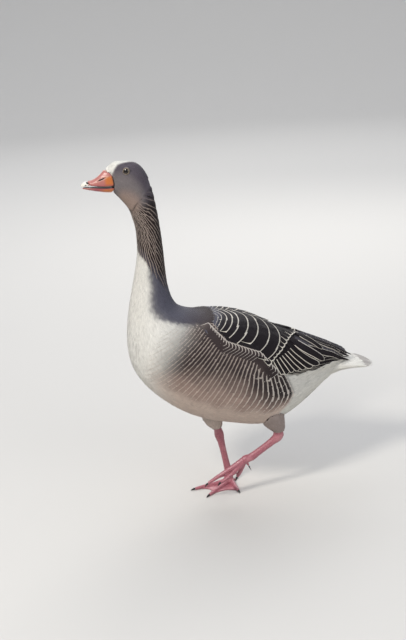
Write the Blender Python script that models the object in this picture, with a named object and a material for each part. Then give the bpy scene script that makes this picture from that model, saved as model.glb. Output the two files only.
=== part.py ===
"""A domestic goose, life size, in mid-step on its right foot with the left foot just lifted.

Metres, +Z up.  The goose heads along -X, so its left side faces -Y, and it stands on z = 0,
with the origin under the middle of its length and width.
Sizes in the tables are millimetres, and their x starts above the standing foot.
A section of the body is spanned by its top point and its bottom point in the middle plane, and
by its half width.  The body is one smooth loft of such sections, parted by thin cuts into head,
upper neck, lower neck and trunk.  Wings, flight feathers and tail are solids of their own that
lie on it.
"""

from math import asin, atan2, copysign, cos, pi, radians, sin, sqrt

import bmesh
import bpy
from mathutils import Matrix, Vector

MM = 0.001
LENGTH_MIDDLE = 73.17           # x of the middle of the goose's length, in the tables
CUT = 0.3                       # width of a parting cut, and the gap between neighbours
AROUND = 24                     # points around a section of the body
SMOOTH_BELOW = radians(50)      # edges bent less than this are shaded round

# Sections: top x, top z, bottom x, bottom z, half width, level of the widest place (0 bottom,
# 1 top) and squareness (2 is an ellipse).
HEAD = (
    (-153.7, 726.0, -145.5, 651.0, 17.5, 0.50, 2.2),     # brow
    (-130.5, 726.3, -140.5, 644.0, 22.0, 0.56, 2.2),     # through the eyes
    (-106.5, 719.0, -135.0, 636.3, 23.0, 0.54, 2.1),     # back of the crown
    (-90.8, 697.5, -130.0, 625.1, 22.5, 0.52, 2.0),      # nape
)
NECK = (
    (-82.5, 667.0, -126.3, 609.0, 21.5, 0.50, 2.0),
    (-77.5, 631.3, -123.0, 592.7, 21.0, 0.50, 2.0),
    (-73.7, 595.2, -122.8, 572.7, 21.5, 0.50, 2.0),
    (-70.6, 544.7, -123.6, 540.4, 23.5, 0.50, 2.0),
    (-69.0, 491.4, -131.8, 503.4, 28.0, 0.50, 2.0),
    (-64.5, 457.6, -142.6, 461.4, 37.0, 0.50, 2.0),
)
TRUNK = (
    (-53.2, 430.9, -152.6, 416.9, 52.0, 0.50, 2.0),      # base of the neck
    (-29.4, 416.6, -159.1, 367.1, 72.0, 0.50, 2.0),
    (1.3, 410.0, -155.6, 315.1, 88.0, 0.48, 2.1),        # breast and shoulders
    (36.0, 408.0, -130.8, 265.7, 96.5, 0.48, 2.1),
    (70.0, 400.0, -78.1, 214.4, 100.5, 0.48, 2.15),
    (105.0, 385.0, -20.6, 181.7, 102.0, 0.47, 2.2),      # widest
    (141.6, 364.0, 43.3, 162.4, 100.0, 0.46, 2.2),
    (172.0, 346.0, 97.6, 150.2, 91.5, 0.46, 2.2),
    (196.0, 322.0, 148.0, 158.0, 73.0, 0.46, 2.1),       # behind the flank
    (220.0, 303.0, 190.0, 178.0, 57.0, 0.48, 2.0),
    (238.0, 288.0, 227.3, 204.5, 45.0, 0.50, 2.0),
    (254.0, 277.0, 250.0, 222.0, 36.0, 0.50, 2.0),
    (262.0, 273.0, 262.0, 229.0, 31.0, 0.50, 2.0),       # root of the tail
)
PARTINGS = (3.0, 6.0, 9.5)      # where the body is cut, counted in sections from the brow
CUT_STEP = 0.05                 # step that measures the distance between sections there
HEAD_STEPS = 3                  # loft rings to a section
BODY_STEPS = 2
HEAD_HOLLOW = 4.0               # of the head's front, behind the bill

# Border between the feathers of the face and the bill, from the culmen down to the chin:
# level from the chin (0) to the culmen (1), x, and half width.
FACE_BORDER = (
    (1.0, -171.5, 0.0),
    (0.93, -166.5, 7.5),
    (0.82, -156.0, 11.8),
    (0.55, -152.5, 13.8),
    (0.28, -150.8, 14.0),
    (0.12, -154.0, 11.5),
    (0.0, -159.3, 0.0),
)
BORDER_TOP = 714.1
BORDER_BOTTOM = 665.6

# Upper bill: culmen x, culmen z, edge x, edge z, half width.
UPPER_BILL = (
    (-171.8, 713.8, -151.1, 678.9, 13.8),
    (-177.0, 707.0, -160.0, 678.6, 14.2),
    (-183.0, 701.4, -168.5, 678.6, 14.3),
    (-189.0, 696.8, -176.5, 679.4, 13.8),
    (-195.4, 693.5, -184.5, 680.4, 13.0),
    (-201.0, 692.0, -192.5, 681.6, 12.0),
    (-207.0, 691.4, -201.0, 682.6, 10.8),
    (-212.5, 690.2, -208.5, 682.8, 9.2),
    (-217.3, 687.8, -214.5, 681.8, 6.8),
    (-220.4, 684.6, -218.8, 680.2, 3.2),
)
NAIL_FROM = 6                   # the nail is the bill's tip from this section on
PALATE = 2.0                    # how far the palate's middle lies ahead of the edge
PALATE_BACK = 9.0               # the same at the face
PALATE_RISE = 0.6               # of its middle from the edge
BILL_HOLLOW = 5.0               # of the bill's back, ahead of the head
NAIL_CUT = 0.06                 # between bill and nail, in sections
# Lower bill: edge x, edge z, keel x, keel z, half width.
LOWER_BILL = (
    (-152.4, 677.6, -160.3, 665.9, 12.3),
    (-164.0, 676.4, -167.5, 666.6, 12.5),
    (-184.0, 677.6, -184.5, 669.0, 11.6),
    (-199.0, 679.2, -203.0, 673.2, 9.4),
    (-210.0, 679.8, -213.0, 675.6, 6.6),
    (-216.6, 679.0, -217.6, 677.0, 3.0),
)

EYE_AT = (-128.4, 707.3)        # along the head and up
EYE_SECTION = 1.0               # the section of the head that the eyes are in
EYE_RADIUS = 8.3
EYE_DEPTH = 5.7                 # of the eyeball's centre under the side of the head

HEAD_TURN = radians(12)         # to the goose's right
TURN_AXIS = -108.0              # x of the upright axis that the head turns about
TURN_FROM = 460.0               # heights between which the neck takes up the turn
TURN_TO = 660.0

# Folded wing and its flight feathers: sections as above, then the distance of the upper edge
# from the middle plane, how far the lower edge is down the section (0 top, 1 bottom), and the
# thickness.
WING = (
    (5.0, 411.5, -150.0, 312.0, 90.0, 0.48, 2.1, 36.0, 0.115, 4.0),    # shoulder
    (36.0, 410.0, -130.8, 265.7, 98.5, 0.48, 2.1, 26.0, 0.215, 7.0),
    (70.0, 402.5, -78.1, 214.4, 102.5, 0.48, 2.15, 15.0, 0.265, 8.0),
    (105.0, 388.0, -20.6, 181.7, 104.0, 0.47, 2.2, 8.0, 0.245, 9.0),
    (141.6, 367.0, 43.3, 162.4, 102.0, 0.46, 2.2, 6.0, 0.30, 9.0),
    (175.0, 351.5, 105.0, 160.0, 89.0, 0.46, 2.2, 5.0, 0.385, 9.0),
)
FLIGHT = (
    (206.0, 338.0, 172.0, 240.0, 72.0, 0.20, 2.0, 5.0, 0.77, 9.0),
    (240.0, 322.0, 212.0, 241.0, 59.0, 0.20, 2.0, 5.0, 0.78, 9.0),
    (270.0, 307.0, 248.0, 250.0, 47.0, 0.20, 2.0, 5.0, 0.79, 8.0),
    (296.0, 292.0, 276.0, 259.0, 36.0, 0.20, 2.0, 5.0, 0.80, 7.0),
    (312.0, 283.5, 298.0, 267.0, 28.0, 0.20, 2.0, 5.5, 0.80, 5.0),
    (324.5, 276.5, 317.0, 271.0, 20.0, 0.20, 2.0, 8.0, 0.80, 3.0),
)
WING_ACROSS = 7                 # loft cells from the upper edge to the lower one
WING_EDGE = 0.35                # thickness at the edges, as a share of the middle
WING_PARTING = 0.006            # half the cut between wing and flight feathers, in sections
BED_GAP = 0.6                   # between a wing and the bed that it lies in
BED_PAST_END = 0.03             # how far the bed runs past the wing's ends, in sections
CUTTER_REACH = 8.0              # how far the cutter of a bed stands out of the body

# Tail: x, top z at the middle, bottom z, half width, drop of the side edges.
TAIL = (
    (262.3, 272.5, 229.5, 31.0, 12.0),
    (284.0, 270.0, 238.0, 36.0, 9.0),
    (308.0, 265.3, 243.4, 41.0, 7.0),
    (337.7, 258.8, 247.0, 45.0, 4.5),
    (352.0, 252.8, 246.3, 42.0, 3.0),
    (361.0, 248.6, 245.2, 31.0, 1.5),
    (365.0, 246.3, 244.6, 14.0, 0.5),
)
TAIL_ACROSS = 10                # cells from side to side
TAIL_RIM = 0.25                 # thickness at the side edges, as a share of the middle

# Legs: points of the middle line (x, y, z) with half depth fore and aft and half width.
LEFT_THIGH = (
    (106.0, -60.0, 236.0, 42.0, 26.0),
    (114.0, -57.0, 200.0, 35.0, 25.0),
    (124.0, -53.5, 170.0, 25.0, 20.0),
    (133.0, -50.0, 151.0, 17.0, 14.5),
    (136.0, -49.0, 140.0, 12.5, 11.5),
)
LEFT_SHANK = (
    (136.4, -48.9, 137.0, 8.5, 8.0),
    (136.0, -48.5, 133.0, 10.0, 8.8),
    (131.0, -48.0, 126.0, 10.6, 9.0),
    (122.0, -47.2, 119.5, 8.6, 7.6),
    (108.0, -46.0, 110.0, 7.8, 6.6),
    (90.0, -44.0, 98.0, 7.9, 6.6),
    (74.0, -42.3, 87.5, 9.0, 7.4),
)
RIGHT_THIGH = (
    (24.0, 47.0, 232.0, 42.0, 26.0),
    (19.0, 43.0, 190.0, 34.0, 25.0),
    (16.0, 38.5, 156.0, 25.0, 20.0),
    (20.0, 35.5, 141.0, 16.0, 14.0),
    (22.5, 34.5, 131.0, 11.5, 11.0),
)
RIGHT_SHANK = (
    (22.6, 34.4, 129.0, 8.0, 7.8),
    (24.0, 34.0, 123.0, 9.8, 8.6),
    (25.5, 33.8, 114.5, 10.4, 9.0),
    (28.0, 33.6, 101.0, 8.2, 7.4),
    (31.5, 33.5, 80.0, 7.2, 6.6),
    (36.0, 33.5, 52.0, 7.3, 6.6),
    (40.5, 33.7, 26.0, 8.6, 7.4),
)

# A foot: where its toes start, the way it points (turned from -X towards -Y), how far it tips
# nose down, and its toes: length with the claw, turn from the way it points (+ towards -Y),
# and how far the toe points down from the sole at its root and at its tip.
RIGHT_FOOT = {
    "at": (43.5, 33.0, 0.0), "heading": radians(39), "pitch": 0.0,
    "toes": {
        "outer": (92.0, radians(-33), 0.0, 0.0),
        "middle": (86.0, 0.0, 0.0, 0.0),
        "inner": (60.0, radians(56), 0.0, 0.0),
        "hind": (25.0, radians(172), 0.0, 0.0),
    },
}
LEFT_FOOT = {
    "at": (62.0, -41.0, 78.5), "heading": radians(-4), "pitch": radians(27),
    "toes": {
        "outer": (79.0, radians(5), radians(22), radians(-5)),
        "middle": (101.0, 0.0, radians(1), radians(2)),
        "inner": (54.0, radians(-10), radians(48), radians(28)),
        "hind": (27.0, radians(175), radians(80), radians(100)),
    },
}
TOE_RADII = (7.4, 6.0, 5.2, 4.6, 4.2, 3.4)      # from root to tip
LIFTED_ROOT = 0.8               # height of a lifted toe's root over the sole, in its radii
HIND_TOE_SHARE = 0.62           # of the toes' thickness
HIND_TOE_RISE = 5.0             # of its root above the others
CLAW_LENGTH = 10.0
CLAW_GAP = 0.5                  # between a toe and its claw, whose ends aren't quite parallel
CLAW_DROOP = 1.6                # how far the claw's tip hangs on the standing foot
LIFTED_DROOP = 3.2              # the same on the lifted one
# Claw: shares of its length, and its thickness there as a share of the toe's tip.
CLAW = ((0.0, 0.86), (0.35, 0.74), (0.7, 0.46), (1.0, 0.16))
WEB_THICKNESS = 2.6
WEB_REACH = 0.90                # of the toe without its claw, where the web ends
WEB_HOLLOW = 0.20               # how far the web's front edge curves in
WEB_POINTS = 5
SOLE_SINK = 0.9                 # of the toes' roundness that the flat sole cuts off
GROUND = 240.0                  # edge of the block that cuts it

# Heel of a foot, from the ankle to where the toes start: its depth and width there as shares of
# the ankle's.
KNUCKLE_AT = 0.55               # of the way down
KNUCKLE = (1.02, 1.12)
TOES_START = (0.9, 1.05)
HEEL_TIP = (4.5, 3.4, 3.6)      # length of the rounded end, with its half depth and half width

LEG_STEPS = 2                   # loft rings to a point of the middle line
THIGH_AROUND = 16               # points around each piece of the leg
SHANK_AROUND = 12
TOE_AROUND = 8
CLAW_AROUND = 6

COLOURS = {
    "grey feathers": ((0.27, 0.25, 0.24), 0.85),
    "neck feathers": ((0.20, 0.17, 0.15), 0.85),
    "pale feathers": ((0.55, 0.50, 0.44), 0.85),
    "dark feathers": ((0.06, 0.055, 0.055), 0.75),
    "white feathers": ((0.80, 0.78, 0.74), 0.85),
    "bill": ((0.72, 0.27, 0.14), 0.45),
    "nail": ((0.80, 0.74, 0.66), 0.40),
    "eye": ((0.02, 0.012, 0.008), 0.08),
    "leg skin": ((0.62, 0.24, 0.22), 0.50),
    "claw": ((0.05, 0.035, 0.03), 0.45),
}


def blend(low, high, value):
    """Rise smoothly from 0 at low to 1 at high."""
    share = min(max((value - low) / (high - low), 0.0), 1.0)
    return share * share * (3 - 2 * share)


def turned(point):
    """Turn a point of the head or neck to the goose's right, more the higher it is."""
    angle = -HEAD_TURN * blend(TURN_FROM, TURN_TO, point.z)
    along, across = point.x - TURN_AXIS, point.y
    return Vector((
        TURN_AXIS + along * cos(angle) - across * sin(angle),
        along * sin(angle) + across * cos(angle),
        point.z,
    ))


def step_ahead(length):
    """A step the way the head points."""
    return Vector((-length * cos(HEAD_TURN), length * sin(HEAD_TURN), 0))


def row_at(rows, place):
    """Read a table of sections at a place between its rows, on a smooth curve."""
    last = len(rows) - 1
    first = min(int(place), last - 1)
    share = place - first
    before = rows[max(first - 1, 0)]
    start, end = rows[first], rows[first + 1]
    after = rows[min(first + 2, last)]
    smooth = []
    for a, b, c, d in zip(before, start, end, after):
        bend = 2 * a - 5 * b + 4 * c - d
        twist = 3 * (b - c) + d - a
        smooth.append(b + 0.5 * share * (c - a + share * (bend + share * twist)))
    return tuple(smooth)


def section_point(row, angle, grow=0.0):
    """Point of a section at an angle from its top, in millimetres."""
    top_x, top_z, bottom_x, bottom_z, half_width, widest, squareness = row[:7]
    power = 2 / squareness
    up, side = cos(angle), sin(angle)
    rise = abs(up) ** power
    level = widest + (1 - widest) * rise if up > 0 else widest * (1 - rise)
    height = Vector((top_x - bottom_x, 0, top_z - bottom_z))
    reach = 1 + 2 * grow / height.length
    level = 0.5 + (level - 0.5) * reach
    point = Vector((bottom_x, 0, bottom_z)) + height * level
    point.y = copysign(abs(side) ** power, side) * (half_width + grow)
    return point


def section(row, grow=0.0):
    """All points around a section of the body, starting at its top."""
    return [section_point(row, 2 * pi * k / AROUND, grow) for k in range(AROUND)]


def new_mesh(name, bm):
    """Finish a bmesh, with its faces pointing out, as a mesh in metres.

    Its quads are twisted, so they are split one way here, and a solid and its bed agree.
    """
    bmesh.ops.triangulate(bm, faces=bm.faces, quad_method="FIXED")
    bmesh.ops.recalc_face_normals(bm, faces=bm.faces)
    if bm.calc_volume(signed=True) < 0:
        bmesh.ops.reverse_faces(bm, faces=bm.faces)
    bmesh.ops.scale(bm, vec=(MM, MM, MM), verts=bm.verts)
    mesh = bpy.data.meshes.new(name)
    bm.to_mesh(mesh)
    bm.free()
    mesh.shade_smooth()
    mesh.set_sharp_from_angle(angle=SMOOTH_BELOW)
    return mesh


def skin_rings(bm, rings):
    """Join closed rings of points with faces, and return their vertices."""
    loops = [[bm.verts.new(point) for point in ring] for ring in rings]
    for lower, upper in zip(loops, loops[1:]):
        count = len(lower)
        for k in range(count):
            n = (k + 1) % count
            bm.faces.new((lower[k], lower[n], upper[n], upper[k]))
    return loops


def cap(bm, loop, inward=None):
    """Close a ring with a fan around its middle, which may be pushed in."""
    middle = sum((vert.co for vert in loop), Vector()) / len(loop)
    hub = bm.verts.new(middle + (inward or Vector()))
    for k, vert in enumerate(loop):
        bm.faces.new((vert, loop[(k + 1) % len(loop)], hub))


def loft(name, rings, inward=None):
    """One closed body through rings of points; its first end may be hollow."""
    bm = bmesh.new()
    loops = skin_rings(bm, rings)
    cap(bm, loops[0], inward)
    cap(bm, loops[-1])
    return new_mesh(name, bm)


def slab(name, rings):
    """One closed body through rings that run along its upper side and back along its lower one."""
    bm = bmesh.new()
    loops = skin_rings(bm, rings)
    for loop in (loops[0], loops[-1]):
        last = len(loop) - 1
        for k in range(len(loop) // 2 - 1):
            bm.faces.new((loop[k], loop[k + 1], loop[last - k - 1], loop[last - k]))
    return new_mesh(name, bm)


def add(name, mesh, collection, finish=None):
    """Place a mesh as an object in a collection, with its material."""
    thing = bpy.data.objects.new(name, mesh)
    collection.objects.link(thing)
    if finish:
        mesh.materials.append(finish)
    return thing


def add_guide(name, mesh, collection):
    """Place a mesh that only cuts or joins another."""
    thing = add(name, mesh, collection)
    thing.hide_render = True
    thing.display_type = "WIRE"
    return thing


def apply_boolean(thing, other, operation, solver="EXACT"):
    """Cut or join one object with another; MANIFOLD leaves fewer slivers where both are closed."""
    change = thing.modifiers.new(operation.lower(), "BOOLEAN")
    change.operation = operation
    change.solver = solver
    change.object = other


def make_material(name, colour, roughness):
    finish = bpy.data.materials.new(name)
    finish.use_nodes = True
    shader = finish.node_tree.nodes["Principled BSDF"]
    shader.inputs["Base Color"].default_value = (*colour, 1.0)
    shader.inputs["Roughness"].default_value = roughness
    shader.inputs["Metallic"].default_value = 0.0
    return finish


def body_rings(rows, start, end, steps, grow=0.0):
    """Rings of the body's loft between two places, evenly spaced and turned with the head."""
    count = round((end - start) * steps) + 1
    places = [start + (end - start) * k / (count - 1) for k in range(count)]
    return [[turned(point) for point in section(row_at(rows, place), grow)] for place in places]


def cut_share(rows, place):
    """Half a parting cut, counted in sections, at a place of the loft."""
    here, there = row_at(rows, place), row_at(rows, place + CUT_STEP)
    top = sqrt((there[0] - here[0]) ** 2 + (there[1] - here[1]) ** 2)
    bottom = sqrt((there[2] - here[2]) ** 2 + (there[3] - here[3]) ** 2)
    return 0.5 * CUT * CUT_STEP / min(top, bottom)


def border_at(height):
    """Where the feather border of the face is at a height: x and half width."""
    level = (height - BORDER_BOTTOM) / (BORDER_TOP - BORDER_BOTTOM)
    low, high = 0.0, len(FACE_BORDER) - 1.0
    for _ in range(20):
        place = (low + high) / 2
        if row_at(FACE_BORDER, place)[0] > level:
            low = place
        else:
            high = place
    _, along, half_width = row_at(FACE_BORDER, place)
    return along, max(half_width, 0.0)


def face_ring():
    """The feather border around the bill, with as many points as a section of the body."""
    middle = (BORDER_TOP + BORDER_BOTTOM) / 2
    ring = []
    for k in range(AROUND):
        angle = 2 * pi * k / AROUND
        height = middle + (BORDER_TOP - middle) * cos(angle)
        along, half_width = border_at(height)
        ring.append(turned(Vector((along, copysign(half_width, sin(angle)), height))))
    return ring


def build_body(parts, finishes):
    """Head, upper neck, lower neck and trunk from one loft."""
    rows = HEAD + NECK + TRUNK
    first, second, third = PARTINGS
    end = len(rows) - 1
    gaps = {place: cut_share(rows, place) for place in PARTINGS}
    head_rings = [face_ring()] + body_rings(rows, 0, first - gaps[first], HEAD_STEPS)
    mesh = loft("head", head_rings, inward=step_ahead(-HEAD_HOLLOW))
    head = add("head", mesh, parts, finishes["grey feathers"])
    spans = (
        ("neck_upper", first + gaps[first], second - gaps[second], "neck feathers"),
        ("neck_lower", second + gaps[second], third - gaps[third], "grey feathers"),
        ("trunk", third + gaps[third], end, "pale feathers"),
    )
    made = {"head": head}
    for name, start, stop, finish in spans:
        rings = body_rings(rows, start, stop, BODY_STEPS)
        made[name] = add(name, loft(name, rings), parts, finishes[finish])
    return made


def eye_place(side):
    """Middle of an eyeball; side is -1 for the left eye and +1 for the right one."""
    along, height = EYE_AT
    row = row_at(HEAD + NECK, EYE_SECTION)
    angle = min((radians(k) for k in range(10, 90)),
                key=lambda a: abs(section_point(row, a).z - height))
    skin = section_point(row, angle).y
    return turned(Vector((along, side * (skin - EYE_DEPTH), height)))


def ball(name, middle, radius):
    bm = bmesh.new()
    bmesh.ops.create_uvsphere(bm, u_segments=14, v_segments=8, radius=radius)
    bmesh.ops.rotate(bm, cent=(0, 0, 0), matrix=Matrix.Rotation(pi / 2, 3, "X"), verts=bm.verts)
    bmesh.ops.translate(bm, vec=middle, verts=bm.verts)
    return new_mesh(name, bm)


def build_eyes(parts, cutters, finishes, head):
    for name, side in (("eye_left", -1), ("eye_right", 1)):
        middle = eye_place(side)
        add(name, ball(name, middle, EYE_RADIUS), parts, finishes["eye"])
        socket = add_guide(name + "_socket", ball(name, middle, EYE_RADIUS + CUT), cutters)
        apply_boolean(head, socket, "DIFFERENCE")


def bill_ring(row, at_face, arch=14):
    """Section of half a bill: an arch from edge to edge, closed by a nearly flat palate."""
    crest_x, crest_z, edge_x, edge_z, half_width = row
    palate = PALATE_BACK if at_face else PALATE
    ring = []
    for k in range(arch + 1):
        angle = pi * k / arch
        rise = sin(angle) ** 0.85
        along = edge_x + (crest_x - edge_x) * rise
        across = half_width * abs(cos(angle)) ** 0.8
        height = edge_z + (crest_z - edge_z) * rise
        if at_face:
            along, across = border_at(height)
            along -= 2 * CUT
            across = max(across - CUT, 0.0)
        ring.append(Vector((along, copysign(across, cos(angle)), height)))
    for share in (-0.5, 0.0, 0.5):
        roof = edge_z + copysign(PALATE_RISE, crest_z - edge_z)
        ring.append(Vector((edge_x - palate, half_width * share, roof)))
    return [turned(point) for point in ring]


def build_bill(parts, finishes):
    """Upper bill, its nail, and the lower bill."""
    upper = [bill_ring(row, k == 0) for k, row in enumerate(UPPER_BILL)]
    lower = [bill_ring((keel_x, keel_z, edge_x, edge_z, half_width), k == 0)
             for k, (edge_x, edge_z, keel_x, keel_z, half_width) in enumerate(LOWER_BILL)]
    hollow = step_ahead(BILL_HOLLOW)
    cut = [a.lerp(b, NAIL_CUT) for a, b in zip(upper[NAIL_FROM], upper[NAIL_FROM + 1])]
    mesh = loft("bill_upper", upper[:NAIL_FROM + 1], inward=hollow)
    add("bill_upper", mesh, parts, finishes["bill"])
    add("bill_nail", loft("bill_nail", [cut] + upper[NAIL_FROM + 1:]), parts, finishes["nail"])
    mesh = loft("bill_lower", lower, inward=hollow)
    add("bill_lower", mesh, parts, finishes["bill"])


def edge_angle(row, share):
    """Angle from the top at which a section is a share of its height lower than its top."""
    above = 1 - row[5]
    rise = max(0.0, 1 - share / above)
    return pi / 2 if rise == 0 else atan2(sqrt(1 - rise ** row[6]), rise ** (row[6] / 2))


def wing_ring(row, side, bed):
    """Closed section of a slab that lies along the back; side is -1 left, +1 right.

    Its bed is the same slab, a little larger inside and reaching out of the body.
    """
    out, deeper, spare = (CUTTER_REACH, BED_GAP, BED_GAP) if bed else (0.0, 0.0, 0.0)
    half_width, upper_edge, share, thickness = row[4], row[7], row[8], row[9]
    first = asin(upper_edge / half_width) - spare / half_width
    last = edge_angle(row, share) + 2 * spare / half_width
    outer, inner = [], []
    for j in range(WING_ACROSS + 1):
        angle = first + (last - first) * j / WING_ACROSS
        crown = WING_EDGE + (1 - WING_EDGE) * sin(pi * j / WING_ACROSS) ** 0.6
        outer.append(section_point(row, angle, out))
        inner.append(section_point(row, angle, -thickness * crown - deeper))
    ring = outer + inner[::-1]
    for point in ring:
        point.y *= side
    return ring


def build_wings(parts, cutters, finishes, trunk, tail):
    """Folded wings and flight feathers, each side in one bed cut into the trunk and the tail."""
    rows = WING + FLIGHT
    parting, end = len(WING) - 0.5, len(rows) - 1.0
    spans = (
        ("wing", 0.0, parting - WING_PARTING),
        ("flight", parting + WING_PARTING, end),
    )
    for side, label in ((-1, "left"), (1, "right")):
        bed_places = [-BED_PAST_END]
        for part, first, last in spans:
            count = round((last - first) * BODY_STEPS)
            places = [first + (last - first) * k / count for k in range(count + 1)]
            name = part + "_" + label
            mesh = slab(name, [wing_ring(row_at(rows, place), side, False) for place in places])
            add(name, mesh, parts, finishes["dark feathers"])
            bed_places += places
        bed_places.append(end + BED_PAST_END)
        name = "wing_bed_" + label
        mesh = slab(name, [wing_ring(row_at(rows, place), side, True) for place in bed_places])
        bed = add_guide(name, mesh, cutters)
        apply_boolean(trunk, bed, "DIFFERENCE", "MANIFOLD")
        apply_boolean(tail, bed, "DIFFERENCE", "MANIFOLD")


def build_tail(parts, finishes):
    """A low roof of tail feathers over the coverts below them."""
    rings = []
    count = (len(TAIL) - 1) * BODY_STEPS + 1
    for k in range(count):
        along, top, bottom, half_width, drop = row_at(TAIL, k / BODY_STEPS)
        upper, lower = [], []
        for j in range(TAIL_ACROSS + 1):
            share = -1 + 2 * j / TAIL_ACROSS
            edge = 1 - share * share
            across = half_width * share
            side_top = top - drop * share * share
            depth = (top - bottom) * (TAIL_RIM + (1 - TAIL_RIM) * edge)
            upper.append(Vector((along, across, side_top)))
            lower.append(Vector((along, across, max(side_top - depth, bottom))))
        rings.append(upper + lower[::-1])
    return add("tail", slab("tail", rings), parts, finishes["white feathers"])


def ring_around(middle, front, side, count, first=0.0):
    """Points around an oval with the given half axes; the first is that many steps past front."""
    turns = [2 * pi * (j + first) / count for j in range(count)]
    return [middle + front * cos(turn) + side * sin(turn) for turn in turns]


def tube_rings(points, around):
    """Rings around a bent middle line; each point is (x, y, z, half depth, half width)."""
    middles = [Vector(point[:3]) for point in points]
    rings = []
    last = len(points) - 1
    for k, (middle, point) in enumerate(zip(middles, points)):
        ahead = middles[min(k + 1, last)] - middles[max(k - 1, 0)]
        ahead.normalize()
        side = Vector((0, 1, 0))
        side = (side - ahead * side.dot(ahead)).normalized()
        front = ahead.cross(side)
        rings.append(ring_around(middle, front * point[3], side * point[4], around))
    return rings


def smooth_rings(rows, around):
    count = (len(rows) - 1) * LEG_STEPS + 1
    return tube_rings([row_at(rows, k / LEG_STEPS) for k in range(count)], around)


def foot_frame(foot):
    """Matrix from a foot's own frame, where it points along +X, to the goose's."""
    ahead = Matrix.Rotation(pi + foot["heading"], 4, "Z")
    return Matrix.Translation(foot["at"]) @ ahead @ Matrix.Rotation(foot["pitch"], 4, "Y")


def toe_line(toe, scale, lifted):
    """Middle line of a toe in the foot's frame, and its radii, from root to claw."""
    length, spread, root_bend, tip_bend = toe
    last = len(TOE_RADII) - 1
    step = (length - CLAW_LENGTH) / last
    reach = 0.0
    height = TOE_RADII[0] * LIFTED_ROOT
    points, radii = [], []
    for k, radius in enumerate(TOE_RADII):
        radius *= scale
        if not lifted:
            height = radius - SOLE_SINK
        points.append(Vector((reach * cos(spread), reach * sin(spread), height)))
        radii.append(radius)
        bend = root_bend + (tip_bend - root_bend) * k / last
        reach += step * cos(bend)
        height -= step * sin(bend)
    return points, radii


def toe_tube(points, radii, frame, around):
    """Rings of a toe or claw, with a flat facet below."""
    placed = [frame @ point for point in points]
    last = len(placed) - 1
    rings = []
    for k, (middle, radius) in enumerate(zip(placed, radii)):
        ahead = (placed[min(k + 1, last)] - placed[max(k - 1, 0)]).normalized()
        side = ahead.cross(Vector((0, 0, 1))).normalized()
        up = side.cross(ahead)
        rings.append(ring_around(middle, up * radius, side * radius, around, first=0.5))
    return rings


def claw_line(points, radii, lifted):
    """Middle line of the claw that carries on from a toe, bending down to its tip."""
    ahead = (points[-1] - points[-2]).normalized()
    start = points[-1] + ahead * CLAW_GAP
    droop = LIFTED_DROOP if lifted else CLAW_DROOP
    line, sizes = [], []
    for share, size in CLAW:
        radius = radii[-1] * size
        point = start + ahead * CLAW_LENGTH * share
        point.z -= droop * share * share
        if not lifted:
            point.z = max(point.z, radius + CUT)
        line.append(point)
        sizes.append(radius)
    return line, sizes


def web_outline(points_by_toe):
    """Outline of the webs in the foot's frame, curved in between the toes."""
    root = Vector((0, 0, 0))
    outline = []
    toes = [points_by_toe[name][-1] * WEB_REACH for name in ("outer", "middle", "inner")]
    for first, second in zip(toes, toes[1:]):
        for k in range(WEB_POINTS):
            share = k / WEB_POINTS
            point = first.lerp(second, share)
            pull = WEB_HOLLOW * 4 * share * (1 - share)
            outline.append(point.lerp(root, pull))
    outline += [toes[-1], root]
    return outline


def web_mesh(name, outline, frame, lifted):
    """Webs between the toes as one thin plate, which reaches under the floor if it stands."""
    bm = bmesh.new()
    middle = sum(outline, Vector()) / len(outline)
    upper, lower = [], []
    for point in (*outline, middle):
        level = point.z if lifted else 0.0
        sink = 0.0 if lifted else SOLE_SINK
        upper.append(bm.verts.new(frame @ Vector((point.x, point.y, level + WEB_THICKNESS))))
        lower.append(bm.verts.new(frame @ Vector((point.x, point.y, level - sink))))
    top, base = upper.pop(), lower.pop()
    for k in range(len(outline)):
        n = (k + 1) % len(outline)
        bm.faces.new((upper[k], upper[n], lower[n], lower[k]))
        bm.faces.new((upper[k], upper[n], top))
        bm.faces.new((lower[k], lower[n], base))
    return new_mesh(name, bm)


def heel_rings(shank, frame):
    """Rings from the ankle down to where the toes start; the first is cut square to the shank."""
    ankle = Vector(shank[-1][:3])
    half_depth, half_width = shank[-1][3:]
    down = (ankle - Vector(shank[-2][:3])).normalized()
    start = ankle + down * CUT
    root = frame @ Vector((2.0, 0, TOE_RADII[0] - SOLE_SINK))
    knuckle = start.lerp(root, KNUCKLE_AT)
    length, tip_depth, tip_width = HEEL_TIP
    tip = root + (root - knuckle).normalized() * length
    rings = tube_rings([
        (*start, half_depth, half_width),
        (*knuckle, half_depth * KNUCKLE[0], half_width * KNUCKLE[1]),
        (*root, half_depth * TOES_START[0], half_width * TOES_START[1]),
        (*tip, tip_depth, tip_width),
    ], SHANK_AROUND)
    rings[0] = [point - down * (point - start).dot(down) for point in rings[0]]
    return rings


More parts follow.
